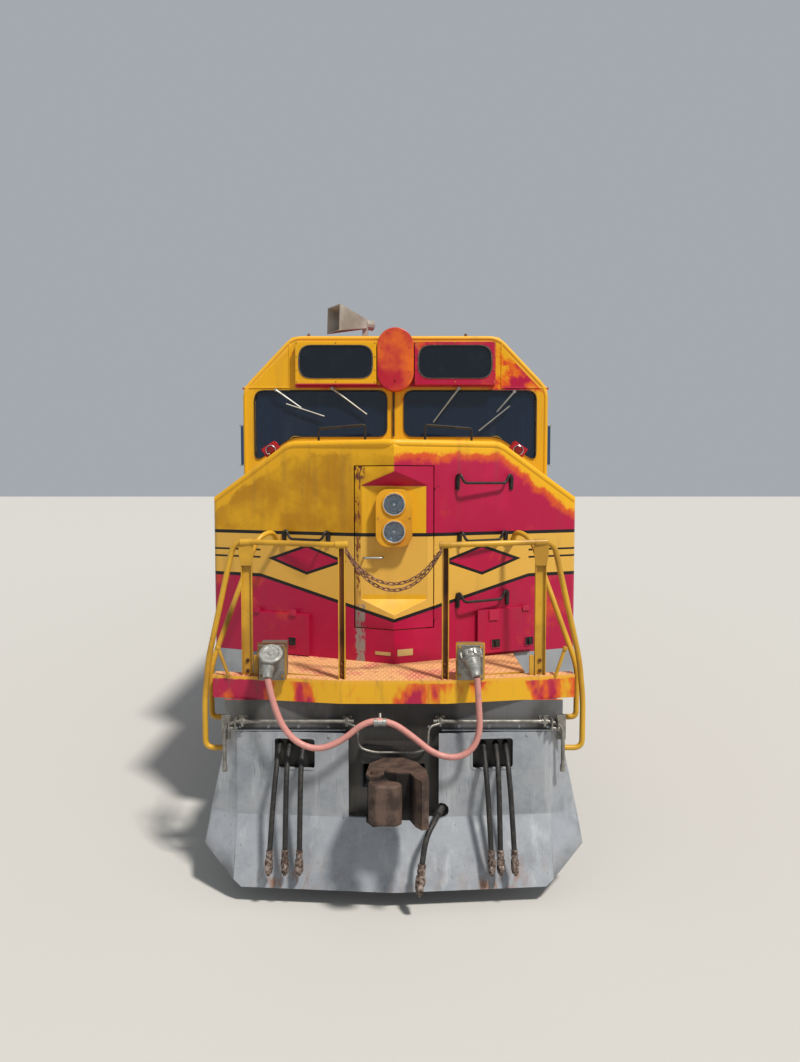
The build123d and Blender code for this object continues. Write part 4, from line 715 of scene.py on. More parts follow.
def rounded(points, bend, ring=False, steps=6):
    """A route whose corners are eased over a length, as vectors."""
    points = [Vector(p) for p in points]
    threes = list(zip(points, points[1:], points[2:]))
    if ring:
        threes = list(zip(points[-1:] + points[:-1], points, points[1:] + points[:1]))
    route = []
    for before, corner, after in threes:
        reach = min(bend, (before - corner).length / 2, (after - corner).length / 2)
        start = corner + (before - corner).normalized() * reach
        stop = corner + (after - corner).normalized() * reach
        for i in range(steps + 1):
            t = i / steps
            route.append((1 - t) ** 2 * start + 2 * t * (1 - t) * corner + t * t * stop)
    return route if ring else [points[0], *route, points[-1]]


def bars(name, routes, radius, finish, body="locomotive", bend=60, replaced=None, ring=False):
    """Bent round bars as one piece."""
    curve = round_curve(name, radius, finish)
    for route in routes:
        run = lay(curve, rounded([mm(*p) for p in route], bend / 1000, ring))
        run.use_cyclic_u = ring
    return put(name, curve, body, replaced)


def staple(start, end, out):
    """A bar's route between two feet, from which it stands off by out."""
    start, end, out = Vector(start), Vector(end), Vector(out)
    return [start, start + out, end + out, end]


print("piece helpers: put, show, round_curve, lay, rounded, bars, staple")

# %% [markdown]
# A mesh piece is one bmesh, to which boxes, bars, turned parts and plates are added. They could
# be separate objects, but one mesh a piece keeps the list of pieces short. Each function gives
# its faces one of the piece's finishes, by number.

# %% Shape helpers


def coat_faces(made, finish):
    """Gives all the faces of a new solid one of the piece's finishes."""
    for face in {f for v in made["verts"] for f in v.link_faces}:
        face.material_index = finish


def block(shape, x, y, z, place=Matrix(), finish=0):
    """A box between two x, two y and two z values in millimetres."""
    low, high = mm(x[0], y[0], z[0]), mm(x[1], y[1], z[1])
    size = Matrix.Diagonal((*(high - low), 1))
    coat_faces(bmesh.ops.create_cube(
        shape, matrix=place @ Matrix.Translation((low + high) / 2) @ size), finish)


def bar(shape, start, end, radius, sides=16, end_radius=None, finish=0):
    """A round bar or cone between two points in millimetres."""
    a, b = mm(*start), mm(*end)
    turn = (b - a).to_track_quat("Z", "Y").to_matrix().to_4x4()
    coat_faces(bmesh.ops.create_cone(
        shape, cap_ends=True, segments=sides, radius1=radius / 1000,
        radius2=(radius if end_radius is None else end_radius) / 1000, depth=(b - a).length,
        matrix=Matrix.Translation((a + b) / 2) @ turn), finish)


def turned(shape, profile, place, sides=48, finish=0, capped=True):
    """A turned shape: (radius, height) pairs in millimetres, revolved about the place's Z."""
    rings = [[shape.verts.new(place @ mm(radius * math.cos(a), radius * math.sin(a), height))
              for a in around(sides)] for radius, height in profile]
    for low, high in zip(rings, rings[1:]):
        for i in range(sides):
            j = (i + 1) % sides
            shape.faces.new((low[i], low[j], high[j], high[i])).material_index = finish
    for ring in (rings[0], rings[-1]) if capped else ():
        shape.faces.new(ring).material_index = finish


def plate(shape, outline, place, thick, finish=0, hole=None):
    """A flat plate: (x, z) points in millimetres in the place's XZ, thick along its -Y."""
    outer, inner = [[[shape.verts.new(place @ mm(x, -depth, z)) for x, z in line]
                     for depth in (0, thick)] for line in (outline, hole or ())]
    count = len(outline)
    for i in range(count):
        j = (i + 1) % count
        made = [(outer[0][i], outer[0][j], outer[1][j], outer[1][i])]
        if hole:
            made.append((inner[0][j], inner[0][i], inner[1][i], inner[1][j]))
            made += [(outer[k][i], outer[k][j], inner[k][j], inner[k][i]) for k in (0, 1)]
        for face in made:
            shape.faces.new(face).material_index = finish
    for ring in () if hole else outer:
        shape.faces.new(ring).material_index = finish


def frame_plate(shape, outline, place, width, thick, corner, finish=0):
    """A frame round an opening: outline (x, z) grown by a width, with eased corners."""
    middle = sum((Vector(p) for p in outline), Vector((0, 0))) / len(outline)
    grown = [Vector(p) + Vector([math.copysign(width, d) for d in Vector(p) - middle])
             for p in outline]
    plate(shape, rounded(grown, corner + width, ring=True), place, thick, finish,
          hole=rounded(outline, corner, ring=True))


def bolts(shape, places, radius=11, high=8, sides=6, finish=0):
    """Hexagon bolt heads at places whose Z looks outwards."""
    for place in places:
        turned(shape, ((radius, 0), (radius, high * 0.8), (radius * 0.8, high)), place, sides,
               finish)


print("shape helpers: block, bar, turned, plate, frame_plate, bolts")

# %% [markdown]
# The jumper cable carries control signals between locomotives. Here it hangs between its two
# sockets, caught up by a clamp in the middle, so it makes two loops. Its left plug sits under
# a round lid, its right one is a ridged cone. Every hose is one smooth curve through the same
# points as in the CAD, so it stays limp and even.

# %% Jumper cable


def hose(name, route, diameter, finish, replaced):
    """A round hose along a smooth curve."""
    curve = round_curve(name, diameter / 2, finish, roundness=5)
    curve.resolution_u = 10
    run = lay(curve, [mm(*p) for p in route], "NURBS")
    run.order_u = 3
    run.use_endpoint_u = True
    item = put(name, curve, replaced=replaced)
    return item


JUMPER_Y = -10559
JUMPER = ((-887, 1640), (-850, 1440), (-745, 1215), (-560, 1115), (-370, 1180), (-200, 1330),
          (-20, 1330), (140, 1215), (275, 1100), (425, 1058), (552, 1110), (612, 1240),
          (604, 1430), (590, 1640))
jumper_route = [(x, JUMPER_Y, z) for x, z in JUMPER]
jumper = hose("jumper_hose", jumper_route, 45, "pink", "jumper_cable")
socket = bmesh.new()
turned(socket, ((30, -70), (56, -64), (60, -40), (60, -8), (84, -6), (86, 4), (86, 14), (80, 20),
                (60, 22), (57, 18), (20, 16), (18, 24), (0.5, 24)),
       facing(-872, -10492, 1790, (0.05, -0.62, 0.78)))
cone_place = facing(548, -10445, 1806, (0.19, -0.55, -0.81))
turned(socket, ((58, 0), (72, 6), (72, 30), (66, 34), (66, 44), (72, 48), (72, 58), (58, 68),
                (54, 100)), cone_place, 40)
for angle in around(8):
    block(socket, (66, 84), (-9, 9), (8, 54), cone_place @ Matrix.Rotation(angle, 4, "Z"))
show("jumper_socket_rings", socket, "cast", edges=2)
neck = bmesh.new()
turned(neck, ((29, -12), (35, -6), (35, 30), (44, 60), (44, 84)),
       facing(-888, JUMPER_Y, 1648, (0.02, 0.5, 0.85)), 32)
cone = bmesh.new()
turned(cone, ((53, 98), (52, 110), (40, 150), (34, 170), (34, 196), (28, 200)), cone_place, 40)
clamp = bmesh.new()
turned(clamp, ((24, -46), (31, -43), (31, -20), (28, -17), (28, 17), (31, 20), (31, 43), (24, 46)),
       facing(-95, JUMPER_Y, 1320, (1, 0, 0)), 28)
bar(clamp, (-95, JUMPER_Y, 1348), (-95, JUMPER_Y + 30, 1372), 11, 12)
plugs = [show(name, shape, finish, replaced="jumper_fittings") for name, shape, finish in (
    ("jumper_plug_left", neck, "cast"), ("jumper_plug_right", cone, "cast"),
    ("jumper_clamp", clamp, "zinc"))]

# %% [markdown]
# Air hoses hang from the end plate in two groups of three, and a thicker brake hose hangs from
# its cock beside the coupler. Each has a crimped ferrule and a cast coupling with a flat sealing
# face, turned from two profiles along the last stretch of the hose.

# %% Air hoses


def hose_end(name, route, big=1.0):
    """A crimped ferrule and a cast coupling with a flat sealing face, at a hose's low end."""
    shape = bmesh.new()
    last, before = Vector(route[-1]), Vector(route[-2])
    ahead = (last - before).normalized()
    head = last + ahead * 74 * big
    ferrule = ((20, -55), (25, -52), (25, -40), (22, -37), (22, -28), (25, -25), (25, -8),
               (22, -4), (22, 6), (28, 10), (30, 40), (26, 62), (10, 72))
    seal = ((20, -24), (33, -20), (37, -6), (37, 10), (32, 14), (24, 14), (22, 8))
    for profile, place, sides in (
            (ferrule, facing(*last, ahead), 24),
            (seal, facing(*head, (math.copysign(1, last.x), 0.25, 0)), 28)):
        turned(shape, [(r * big, h * big) for r, h in profile], place, sides)
    bar(shape, head, head + ahead * 48 * big, 17 * big, 12, 10 * big)
    return show(name, shape, "coupling", replaced="hose_couplings")


MU_TOPS = (-836, -764, -663, 658, 748, 820)
MU_ENDS = (-876, -766, -664, 692, 756, 855)
MU_ROUTE = ((-10362, 1090), (-10444, 1043), (-10522, 935), (-10556, 790), (-10628, 370))
BRAKE_HOSE = ((317, -10500, 625), (287, -10590, 612), (235, -10660, 545), (206, -10710, 430),
              (192, -10745, 310))
for number, (top, low) in enumerate(zip(MU_TOPS, MU_ENDS), 1):
    last = len(MU_ROUTE) - 1
    route = [(top + (low - top) * max(0, (i - 1) / (last - 1)) ** 2, y, z)
             for i, (y, z) in enumerate(MU_ROUTE)]
    air_hose = hose(f"air_hose_{number}", route, 38, "hose", f"mu_hose_{number}")
    hose_end(f"air_coupling_{number}", route)
brake = hose("brake_air_hose", BRAKE_HOSE, 40, "hose", "brake_hose")
hose_end("brake_coupling", BRAKE_HOSE, 1.2)
print(len(MU_TOPS) + 2, "cords")

# %% [markdown]
# The two windshields are sheets of laminated glass held in black rubber. The steel opening has
# sharp corners in the frame, so small painted webs fill each corner, and the rubber follows
# the eased line that the eye knows from the real windows. The side windows and the wind
# deflectors are panes of the same glass.

# %% Windshields
WINDSHIELD = ((92, 3486), (1046, 3486), (1435, 3226), (1435, 3943), (92, 3943))
GLASS_CORNER = 95
PANE_THICK = 12
PANE_SET = 20
PANE_SIDE_SET = 25
SIDE_WINDOW_Y = (-7230, -6470)
DEFLECTOR_Y = (-7700, -7680)
shape = bmesh.new()
webs = bmesh.new()
panes = bmesh.new()
for side in SIDES:
    outline = [Vector((side * x, z)) for x, z in WINDSHIELD]
    frame_plate(shape, outline, at(0, CAB_Y, 0), 10, 12, GLASS_CORNER)
    frame_plate(shape, outline, at(0, CAB_Y + 26, 0), 2, 30, GLASS_CORNER)
    eased = rounded(outline, GLASS_CORNER, ring=True)
    for number, corner in enumerate(outline):
        plate(webs, [corner, *eased[number * 7:number * 7 + 7]], at(0, CAB_Y + 20, 0), 20)
    plate(panes, outline, at(0, CAB_Y + PANE_SET + PANE_THICK, 0), PANE_THICK)
    inner = BODY_HALF - PANE_SIDE_SET
    for y in SIDE_WINDOW_Y:
        block(panes, span(side, inner, inner + PANE_THICK), (y - 279, y + 279), (3151, 3849))
    block(panes, span(side, BODY_HALF, BODY_HALF + 70), DEFLECTOR_Y, (3190, 3610))
show("windshield_webs", webs, "cab")
show("windshield_rubber", shape, "gasket")
show("cab_panes", panes, "glass", replaced="cab_glass")

# %% [markdown]
# A rolled bead closes the edge of the cab front. Each wiper is an arm that tapers from its
# spindle, with a bright blade holder and a rubber blade.

# %% Cab edge and wipers
WIPERS = (((-1216, 3950), (-962, 3772), (-1115, 3813), (-727, 3686)),
          ((-644, 3965), (-400, 3786), (-520, 3872), (-292, 3706)),
          ((644, 3965), (470, 3737), (560, 3857), (386, 3626)),
          ((1211, 3934), (1034, 3731), (1167, 3792), (851, 3538)))
half_bead = [(1537, CAB_Y + 15, 2860), (1537, CAB_Y + 15, 3964), (1044, CAB_Y + 15, 4477)]
bars("cab_edge_bead", [[(-x, y, z) for x, y, z in half_bead] + half_bead[::-1]], 24, "cab",
     bend=90)
arms = bmesh.new()
for root, tip, (ax, az), (bx, bz) in WIPERS:
    bar(arms, (root[0], CAB_Y - 5, root[1]), (root[0], CAB_Y - 45, root[1]), 16)
    bar(arms, (root[0], CAB_Y - 38, root[1]), (tip[0], CAB_Y - 22, tip[1]), 11, 8, 7)
    for out, radius, sides, finish in ((22, 7, 8, 0), (14, 6, 6, 1)):
        bar(arms, (ax, CAB_Y - out, az), (bx, CAB_Y - out, bz), radius, sides, finish=finish)
show("wipers", arms, ["zinc", "gasket"])

# %% [markdown]
# Each number board is a painted box with a dark sheet of acrylic set in a rounded rubber, so
# a lamp behind can show it at night. The boards are blank here. Around them bolts hold the
# box's cover plate.

# %% Number boards
BOARD_X = (194, 1012)
BOARD_Z = (3997, 4427)
BOARD_FACE_Y = CAB_Y - 90
BOARD_CORNER = 130
RIM_INSIDE = 0.965
shape = bmesh.new()
heads = bmesh.new()
for side in SIDES:
    x0, x1 = span(side, *BOARD_X)
    z0, z1 = BOARD_Z
    rim = rounded(corners((x0 + 32, x1 - 32), (z0 + 62, z1 - 32)), BOARD_CORNER, ring=True)
    pocket = rounded(corners((x0 + 28, x1 - 28), (z0 + 58, z1 - 28)), 58, ring=True)
    middle = sum(rim, Vector((0, 0))) / len(rim)
    inside = [middle + (p - middle) * RIM_INSIDE for p in rim]
    plate(shape, rim, at(0, BOARD_FACE_Y + 14, 0), 8)
    plate(shape, pocket, at(0, BOARD_FACE_Y + 8, 0), 8, 2, hole=rim)
    plate(shape, rim, at(0, BOARD_FACE_Y + 8, 0), 14, 1, hole=inside)
    spots = [(x, z) for x in (x0 + 14, (x0 + x1) / 2, x1 - 14) for z in (z0 + 30, z1 - 12)]
    spots += [(x, z) for z in (z0 + 150, z0 + 280) for x in (x0 + 12, x1 - 12)]
    bolts(heads, [facing(x, BOARD_FACE_Y, z) for x, z in spots], 7, 5)
show("number_board_panes", shape, ["board", "rim", "cab"])
show("number_board_bolts", heads, "worn_yellow")

# %% [markdown]
# The twin headlight is one casting with two sealed-beam lamps. Each lamp has a chromed ring, a
# glass front and a bowl-shaped mirror behind it, which looks dark by day with bright arcs. The
# rings are open profiles, so that nothing closes the lamp in front of its mirror.

# %% Headlight
LAMP_FACE_Y = RIDGE_Y + 112 - 96
LAMP_MIDDLE_Z = 2737
FLUTES = 16
for level, z in enumerate((2844, 2630), 1):
    shape = bmesh.new()
    place = facing(0, LAMP_FACE_Y, z)
    for profile, finish in (
            (((97, -30), (97, 4), (92, 12), (86, 14)), 2),
            (((86, 14), (82, 14), (76, 8), (76, -6)), 0),
            (((0.5, -44), (20, -42), (36, -38), (40, -31), (56, -26), (74, -8), (76, -6)), 1)):
        turned(shape, profile, place, 48, finish, capped=False)
    for angle in around(FLUTES):
        flute = place @ Matrix.Rotation(angle, 4, "Z")
        bar(shape, spot(flute, 22, 0, -36), spot(flute, 70, 0, -6), 3, 6, 6)
    turned(shape, ((16, -42), (16, -20), (10, -12), (0.5, -10)), place, 24)
    turned(shape, ((58, -26), (60, -18), (66, -16), (68, -14)), place, 48, capped=False)
    show(f"lamp_{level}", shape, ["chrome", "mirror", "yellow"], body="nose_door_leaf")
    shape = bmesh.new()
    turned(shape, ((78, -4), (60, 2), (30, 6), (0.5, 7)), place)
    show(f"lamp_glass_{level}", shape, "lens", body="nose_door_leaf")
shape = bmesh.new()
bolts(shape, [facing(x, LAMP_FACE_Y, LAMP_MIDDLE_Z + dz)
              for x, dz in ((0, -205), (0, 205), (-124, 0), (124, 0))], 8, 5)
show("headlight_bolts", shape, "worn_yellow", body="nose_door_leaf")

# %% [markdown]
# The platform's handrails are bent pipe on pressed-steel posts. A post is a channel: two
# flanges and a web, which holds rain, so the webs at the gate have rusted brown. The pipe is a
# curve with a round section, the posts are boxes with softened edges.

# %% Platform handrails and posts
RAIL_ROUTES = (
    ((373, -10405, 2565), (1175, -10262, 2580), (1377, -10250, 1700), (1408, -10245, 1400),
     (1410, -10233, 1030), (1278, -10233, 1030)),
    ((965, -9520, 2505), (985, -9680, 2625), (1085, -9790, 2570), (1389, -10120, 1618),
     (1389, -10110, 1228), (1300, -10110, 1228)))
POSTS = ((373, -10405, 25, 20, 2558, 1), (1080, -10275, 40, 14, 2566, 0))
BRACES = (((-1289, 1790), (-1218, DECK_Z)), ((1256, 1783), (1193, DECK_Z)))
SHEET = 6
bars("platform_handrails", [[(side * x, y, z) for x, y, z in route]
                            for route in RAIL_ROUTES for side in SIDES],
     21, "mustard", bend=90, replaced="platform_rails")
shape = bmesh.new()
for side in SIDES:
    for x, y, half, deep, top, web in POSTS:
        x *= side
        block(shape, (x - half, x + half), (y + deep - SHEET, y + deep), (DECK_Z, top), finish=web)
        for edge in SIDES:
            block(shape, sorted((x + edge * (half - 7), x + edge * half)), (y - deep, y + deep),
                  (DECK_Z, top - 8))
        bolts(shape, [facing(x, y + deep - SHEET, z) for z in (1622, 1700)], 15, 11, finish=1)
        bar(shape, (x - 46, y - 8 * (1 - web), top + 8), (x + 46, y, top + 10), 27)
    head = [(x - 40, 2405), (x + 40, 2405), (x + 54, 2490), (x + 54, 2562), (x - 54, 2562),
            (x - 54, 2490)]
    plate(shape, head, at(0, -10289, 0), 5)
    block(shape, span(side, 1002, 1034), (-10284, -10262), (DECK_Z, 1738))
for top, foot in BRACES:
    a, b = Vector((top[0], -10300, top[1])), Vector((foot[0], -10300, foot[1]))
    bar(shape, a, b, 13, 12)
    bar(shape, a, a + (a - b).normalized() * 26, 19, 16, 17)
show("rail_posts", shape, ["mustard", "post_rust"], edges=2)

# %% [markdown]
# The gate between the posts is closed by two strands of welded chain, one a little slacker than
# the other. Hung between two points a chain makes a catenary, which is a hyperbolic cosine. Each
# link is a closed curve, an eighth of a turn to one side, and the next as much to the other.

# %% Gate chain
CHAIN_Y = -10405
CHAIN_HALF = 352
CHAIN_TOP_Z = 2545
CHAIN_FLATTEN = 260
LINK = (25, 11)
LINK_PITCH = 41


def chain_point(x, sag):
    """A point of a strand: a catenary between the posts, with its lowest point at x = 0."""
    low = math.cosh(CHAIN_HALF / CHAIN_FLATTEN) - 1
    drop = 1 - (math.cosh(x / CHAIN_FLATTEN) - 1) / low
    return Vector((x, CHAIN_Y - 0.03 * sag, CHAIN_TOP_Z - sag * drop))


links = []
for sag in (258, 304):
    x = -CHAIN_HALF
    roll = -math.pi / 4
    while x < CHAIN_HALF:
        middle = chain_point(x, sag)
        along = (chain_point(x + 1, sag) - middle).normalized()
        out = along.cross(Vector((0, 1, 0)))
        wide = out * math.cos(roll) + Vector((0, 1, 0)) * math.sin(roll)
        links.append([middle + along * LINK[0] * a + wide * LINK[1] * b
                      for a, b in ((1, 1), (1, -1), (-1, -1), (-1, 1))])
        x += LINK_PITCH * along.x
        roll = -roll
bars("gate_chain_links", links, 4.5, "chain", bend=11, replaced="gate_chain", ring=True)
print(len(links), "chain links")

# %% [markdown]
# Grab irons are bent round bar with flattened feet bolted to the sheet. On the nose front the bar
# curls over its feet and hangs below them, so that a hand has room. These and those on top are
# black. The ladders under the side doors are channel stiles with flat rungs.

# %% Grab irons and ladders
NOSE_GRABS = ((504, 958, 3040), (508, 930, 2090), (-903, -528, 2585), (522, 913, 2580))
GRAB_CURL = 52
FOOT = ((-15, -86), (15, -86), (20, 6), (13, 34), (-13, 34), (-20, 6))
GRAB_Z = (1750, 2900)
STAND_OFF = 74
LADDER_Y = (-5302, -4668)
LADDER_FOOT_Z = 420
RUNG_PITCH = 290
routes = []
feet = bmesh.new()
for x0, x1, z in NOSE_GRABS:
    y0, y1 = [RIDGE_Y + abs(x) * math.tan(NOSE_TURN) for x in (x0, x1)]
    inward = math.copysign(GRAB_CURL, x1 - x0)
    ends = [[(x, y - 10, z - 60), (x, y - 16, z + 30), (x + 0.4 * curl, y - 56, z + 38),
             (x + curl, y - 72, z - 32)] for x, y, curl in ((x0, y0, inward), (x1, y1, -inward))]
    routes.append(ends[0] + ends[1][::-1])
    for x in (x0, x1):
        place = nose_place(x, z)
        plate(feet, FOOT, place, 12)
        bolts(feet, [place @ facing(0, -12, dz) for dz in (-70, -8)], 9, 6)
routes += [[(side * 280, -8600, 3342), (side * 280, -8600, 3550), (side * 715, -8600, 3515),
            (side * 715, -8600, 3342)] for side in SIDES]
bars("nose_grab_irons", routes, 11, "black", bend=30, replaced="ladders_and_grabs")
show("grab_iron_feet", feet, "black", edges=3)
routes = [staple(*[(side * BODY_HALF, y, z) for z in GRAB_Z], (side * STAND_OFF, 0, 0))
          for side in SIDES for y in (-5400, -4570)]
routes += [staple(*[(side * 430, REAR_Y, z) for z in GRAB_Z], (0, STAND_OFF, 0)) for side in SIDES]
bars("door_grab_irons", routes, 11.5, "steel", bend=34, replaced="ladders_and_grabs")
shape = bmesh.new()
for side in SIDES:
    x = span(side, 1500, BODY_HALF)
    for y, inward in zip(LADDER_Y, (1, -1)):
        for across, deep in ((x, 12), (span(side, 1538, BODY_HALF), 48)):
            block(shape, across, sorted((y, y + inward * deep)), (LADDER_FOOT_Z, SILL_Z))
    rung_y = (LADDER_Y[0] + 12, LADDER_Y[1] - 12)
    for rung in range(3):
        z = LADDER_FOOT_Z + rung * RUNG_PITCH
        block(shape, x, rung_y, (z + 22, z + 30))
        for edge in (1500, 1544):
            block(shape, span(side, edge, edge + 6), rung_y, (z, z + 24))
show("ladders", shape, "silver", replaced="ladders_and_grabs", edges=2)

# %% [markdown]
# The uncoupling levers are round bar in two hinged brackets each. A short arm with a forked
# joint turns down into the hanging handle, which is lifted from the ground. Over the coupler
# a thinner rod, bent like a U, lifts its pin.

# %% Cut levers
LEVER_Y = -10385
LEVER_Z = 1275
END_PLATE_Y = -10340
ROD = ((-330, -10440, 1275), (-262, -10470, 1262), (-246, -10486, 1112), (-140, -10490, 1080),
       (180, -10490, 1080), (244, -10486, 1112), (254, -10470, 1262), (330, -10440, 1275))
routes = [[(side * x, LEVER_Y, z) for x, z in ((290, LEVER_Z), (1150, LEVER_Z), (1235, 1235),
                                               (1235, 920))] for side in SIDES]
bars("lever_bars", routes, 14, "steel", bend=40, replaced="cut_levers")
bars("lifting_rod", [ROD], 9, "steel", bend=46)
shape = bmesh.new()
for side in SIDES:
    for x in (side * 340, side * 1100):
        for half, front in ((8, -10409), (34, END_PLATE_Y - 8)):
            block(shape, (x - half, x + half), (front, END_PLATE_Y), (1243, 1307))
        bar(shape, (x - 20, LEVER_Y, LEVER_Z), (x + 20, LEVER_Y, LEVER_Z), 23)
        bolts(shape, [facing(x + d, END_PLATE_Y - 8, LEVER_Z) for d in (-26, 26)], 10, 8)
    x = side * 1172
    for d in (-22, 22):
        block(shape, (x + d - 5, x + d + 5), (-10420, -10352), (1215, 1300))
    bar(shape, (x - 36, -10398, 1228), (x + 36, -10398, 1228), 11, 12)
    bar(shape, (side * 1235, LEVER_Y, 905), (side * 1235, LEVER_Y, 955), 19)
    block(shape, span(side, 1196, 1262), (-10352, END_PLATE_Y), (1130, 1310))
show("lever_brackets", shape, "steel", edges=2)

# %% [markdown]
# The sockets' backing plates, the end plate and the pilot are bolted on. The two windows in the
# pilot that let the hoses through have a folded lip with eased corners. On the cab front a weld
# outlines the box of the number boards, as a thin round bar sunk half into the sheet.

# %% Bolted plates, lips and cab seams
PILOT_BOW = math.atan2(95, 1150)
shape = bmesh.new()
for x in (-875, 552):
    bolts(shape, [facing(x + dx, -10440, z) for dx in (-76, 76) for z in (1622, 1832)])
    block(shape, (x - 104, x + 104), (-10434, -10420), (1596, 1862))
show("socket_plates", shape, "worn_yellow", edges=2)
seams = bmesh.new()
lips = bmesh.new()
for side in SIDES:
    bar(seams, (side * 1082, CAB_Y, 3985), (side * 1082, CAB_Y, 4448), 8, 10)
    bar(seams, (side * 1078, CAB_Y, 3978), (side * 1546, CAB_Y, 3978), 8, 10)
    bowed = at(0, -10450, 0) @ Matrix.Rotation(side * PILOT_BOW, 4, "Z")
    frame_plate(lips, corners(span(side, 577, 873), (932, 1149)), bowed, 13, 5, 26)
    bolts(lips, [bowed @ facing(side * x, 0, 1172) for x in (470, 980, 1120)])
    bolts(lips, [facing(side * x, END_PLATE_Y, 1222) for x in (260, 480, 700, 920, 1130)], 13, 9)
    block(lips, span(side, 352, 1215), (-10362, END_PLATE_Y), (1196, 1206))
show("cab_seams", seams, "cab")
show("pilot_lips", lips, "pilot", edges=1.5)

# %% [markdown]
# A bead of bent bar follows the nose's top edge. The two raised hatches low on the nose have
# hinge tabs at the top and square latch pockets below. The small plates between them are blank.

# %% Nose fittings
HATCH_OUT = 36
BEAD = ((-1534, 2862), (-862, 3315), (0, 3315), (862, 3315), (1534, 2862))
TABS = ((-1152, -1107, 1928, 1967), (-840, -788, 1925, 1971), (755, 842, 1888, 1968),
        (1046, 1110, 1950, 1990))
LATCHES = ((-1155, -1083, 1658, 1729), (-860, -790, 1675, 1744), (757, 879, 1668, 1720),
           (1046, 1174, 1633, 1746))
bars("nose_edge_bead", [[on_nose(x, z, -27) * 1000 for x, z in BEAD]], 34, "nose", bend=70)
shape = bmesh.new()
for x0, x1, z0, z1 in TABS:
    half = (x1 - x0) / 2
    block(shape, (-half, half), (-10, 0), (z0, z1), nose_place((x0 + x1) / 2, 0, HATCH_OUT))
    bar(shape, (-half, -8, z1), (half, -8, z1), 8, 10)
for x0, x1, z0, z1 in LATCHES:
    half = min(38, (x1 - x0) / 2)
    middle = (z0 + z1) / 2
    on_hatch = abs(x0) < 1137 and abs(x1) > 694
    place = nose_place((x0 + x1) / 2, 0, HATCH_OUT if on_hatch else 2)
    frame_plate(shape, corners((-half, half), (middle - 34, middle + 34)), place, 8, 5, 6)
    block(shape, (-half, half), (-1, 3), (middle - 34, middle + 34), place, finish=1)
    block(shape, (-8, 8), (-14, 0), (middle - 22, middle + 20), place, finish=1)
for x, z0, z1 in ((-88, 1655, 1682), (86, 1651, 1703)):
    block(shape, (-66, 66), (-2, 0), (z0, z1), nose_place(x, 0, 1), finish=2)
show("nose_hatch_fittings", shape, ["crimson", "black", "cream"], edges=1)

# %% [markdown]
# The nose door is hung on its right edge by three hinges. A light bar handle stands at the left
# of its recess, and moves with the door.

# %% Nose door
handle = staple((-240, -9816, 2421), (-90, -9816, 2421), (0, -56, 0))
bars("nose_handle", [handle], 9, "zinc", body="nose_door_leaf", bend=22)
shape = bmesh.new()
for z in (1985, 2500, 3030):
    place = nose_place(322, z, 2)
    bar(shape, spot(place, 0, 0, -60), spot(place, 0, 0, 60), 11, 14)
    for d in (-30, 0, 30):
        block(shape, (4, 40), (-4, 2), (d - 14, d + 14), place)
show("nose_door_hinges", shape, "nose")

# %% [markdown]
# The two class lamps sit in short hoods on the nose's shoulders. Each has a red glass lens in a
# thin rim. A conduit climbs beside the oval cover, which eight screws hold. Their places follow
# a superellipse, the oval's own line. Two studs stand on the roof above.

# %% Lamps and cover
OVAL_HALF = (148, 285)
OVAL_Z = 4251
for side, name in zip(SIDES, ("left", "right")):
    place = facing(side * 1049, -9302, 3285)
    shape = bmesh.new()
    turned(shape, ((44, 0), (44, 9), (38, 12), (37, 2)), place, 32)
    turned(shape, ((37, 2), (28, 10), (14, 14), (0.5, 15)), place, 32, 1)
    show(f"class_lamp_{name}", shape, ["chrome", "red_glass"])
cover_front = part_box("oval_cover")[0][1] * 1000
shape = bmesh.new()
for angle in around(8, math.pi / 8):
    x, z = [half * math.copysign(abs(part) ** power, part) for half, part, power in zip(
        OVAL_HALF, (math.cos(angle), math.sin(angle)), (0.7, 0.9))]
    bolts(shape, [facing(x, cover_front + 1, OVAL_Z + z)], 9, 5, 12)
bar(shape, (0, cover_front + 20, 4050), (0, cover_front - 14, 4050), 10, 12)
show("cover_screws", shape, "oval")
bars("front_conduit", [[(-20, -7880, 4040), (-20, -7886, 3960), (-20, -7886, 3480)]], 11, "rusty",
     bend=30)
shape = bmesh.new()
for x in (-895, 723):
    block(shape, (x - 40, x + 40), (-7800, -7720), (4486, 4496))
    turned(shape, ((26, 0), (24, 18), (12, 34), (12, 44), (5, 46)),
           facing(x, -7760, 4496, (0, 0, 1)), 20)
show("roof_studs", shape, "post_rust")

# %% [markdown]
# The cab's side windows slide in bright aluminium frames. The frame covers the corners of the
# opening, a centre post parts the two sashes, and a drip strip above keeps rain off. The fins of
# glass ahead of them keep the wind off an open window, and stand in two clips each.

# %% Side windows
frames = bmesh.new()
for side in SIDES:
    wall = at_side(side)
    for y in SIDE_WINDOW_Y:
        low, high = span(side, y - 280, y + 280)
        outline = corners((low, high), (3150, 3850))
        frame_plate(frames, outline, wall, 26, 9, 70)
        frame_plate(frames, outline, at_side(side, 1541), 0.5, 16, 66, finish=1)
        block(frames, (side * y - 16, side * y + 16), (-4, 18), (3152, 3848), wall)
        block(frames, (low - 40, high + 40), (-24, 0), (3896, 3904), wall)
    for z in (3186, 3598):
        block(frames, span(side, BODY_HALF, 1634), (-7708, -7672), (z, z + 12))
show("side_window_frames", frames, ["aluminium", "gasket"], edges=1.5)

# %% [markdown]
# The side doors and the rear door are alike: a dark pane in black rubber, a latch plate, and a
# kick plate of aluminium at the foot, so one function fits them out. The pane is opaque and lies
# on the leaf, and its dark colour is painted shade of the room behind. All this rides on the
# door's leaf, while the hinges stay on the wall.

# %% Side and rear doors


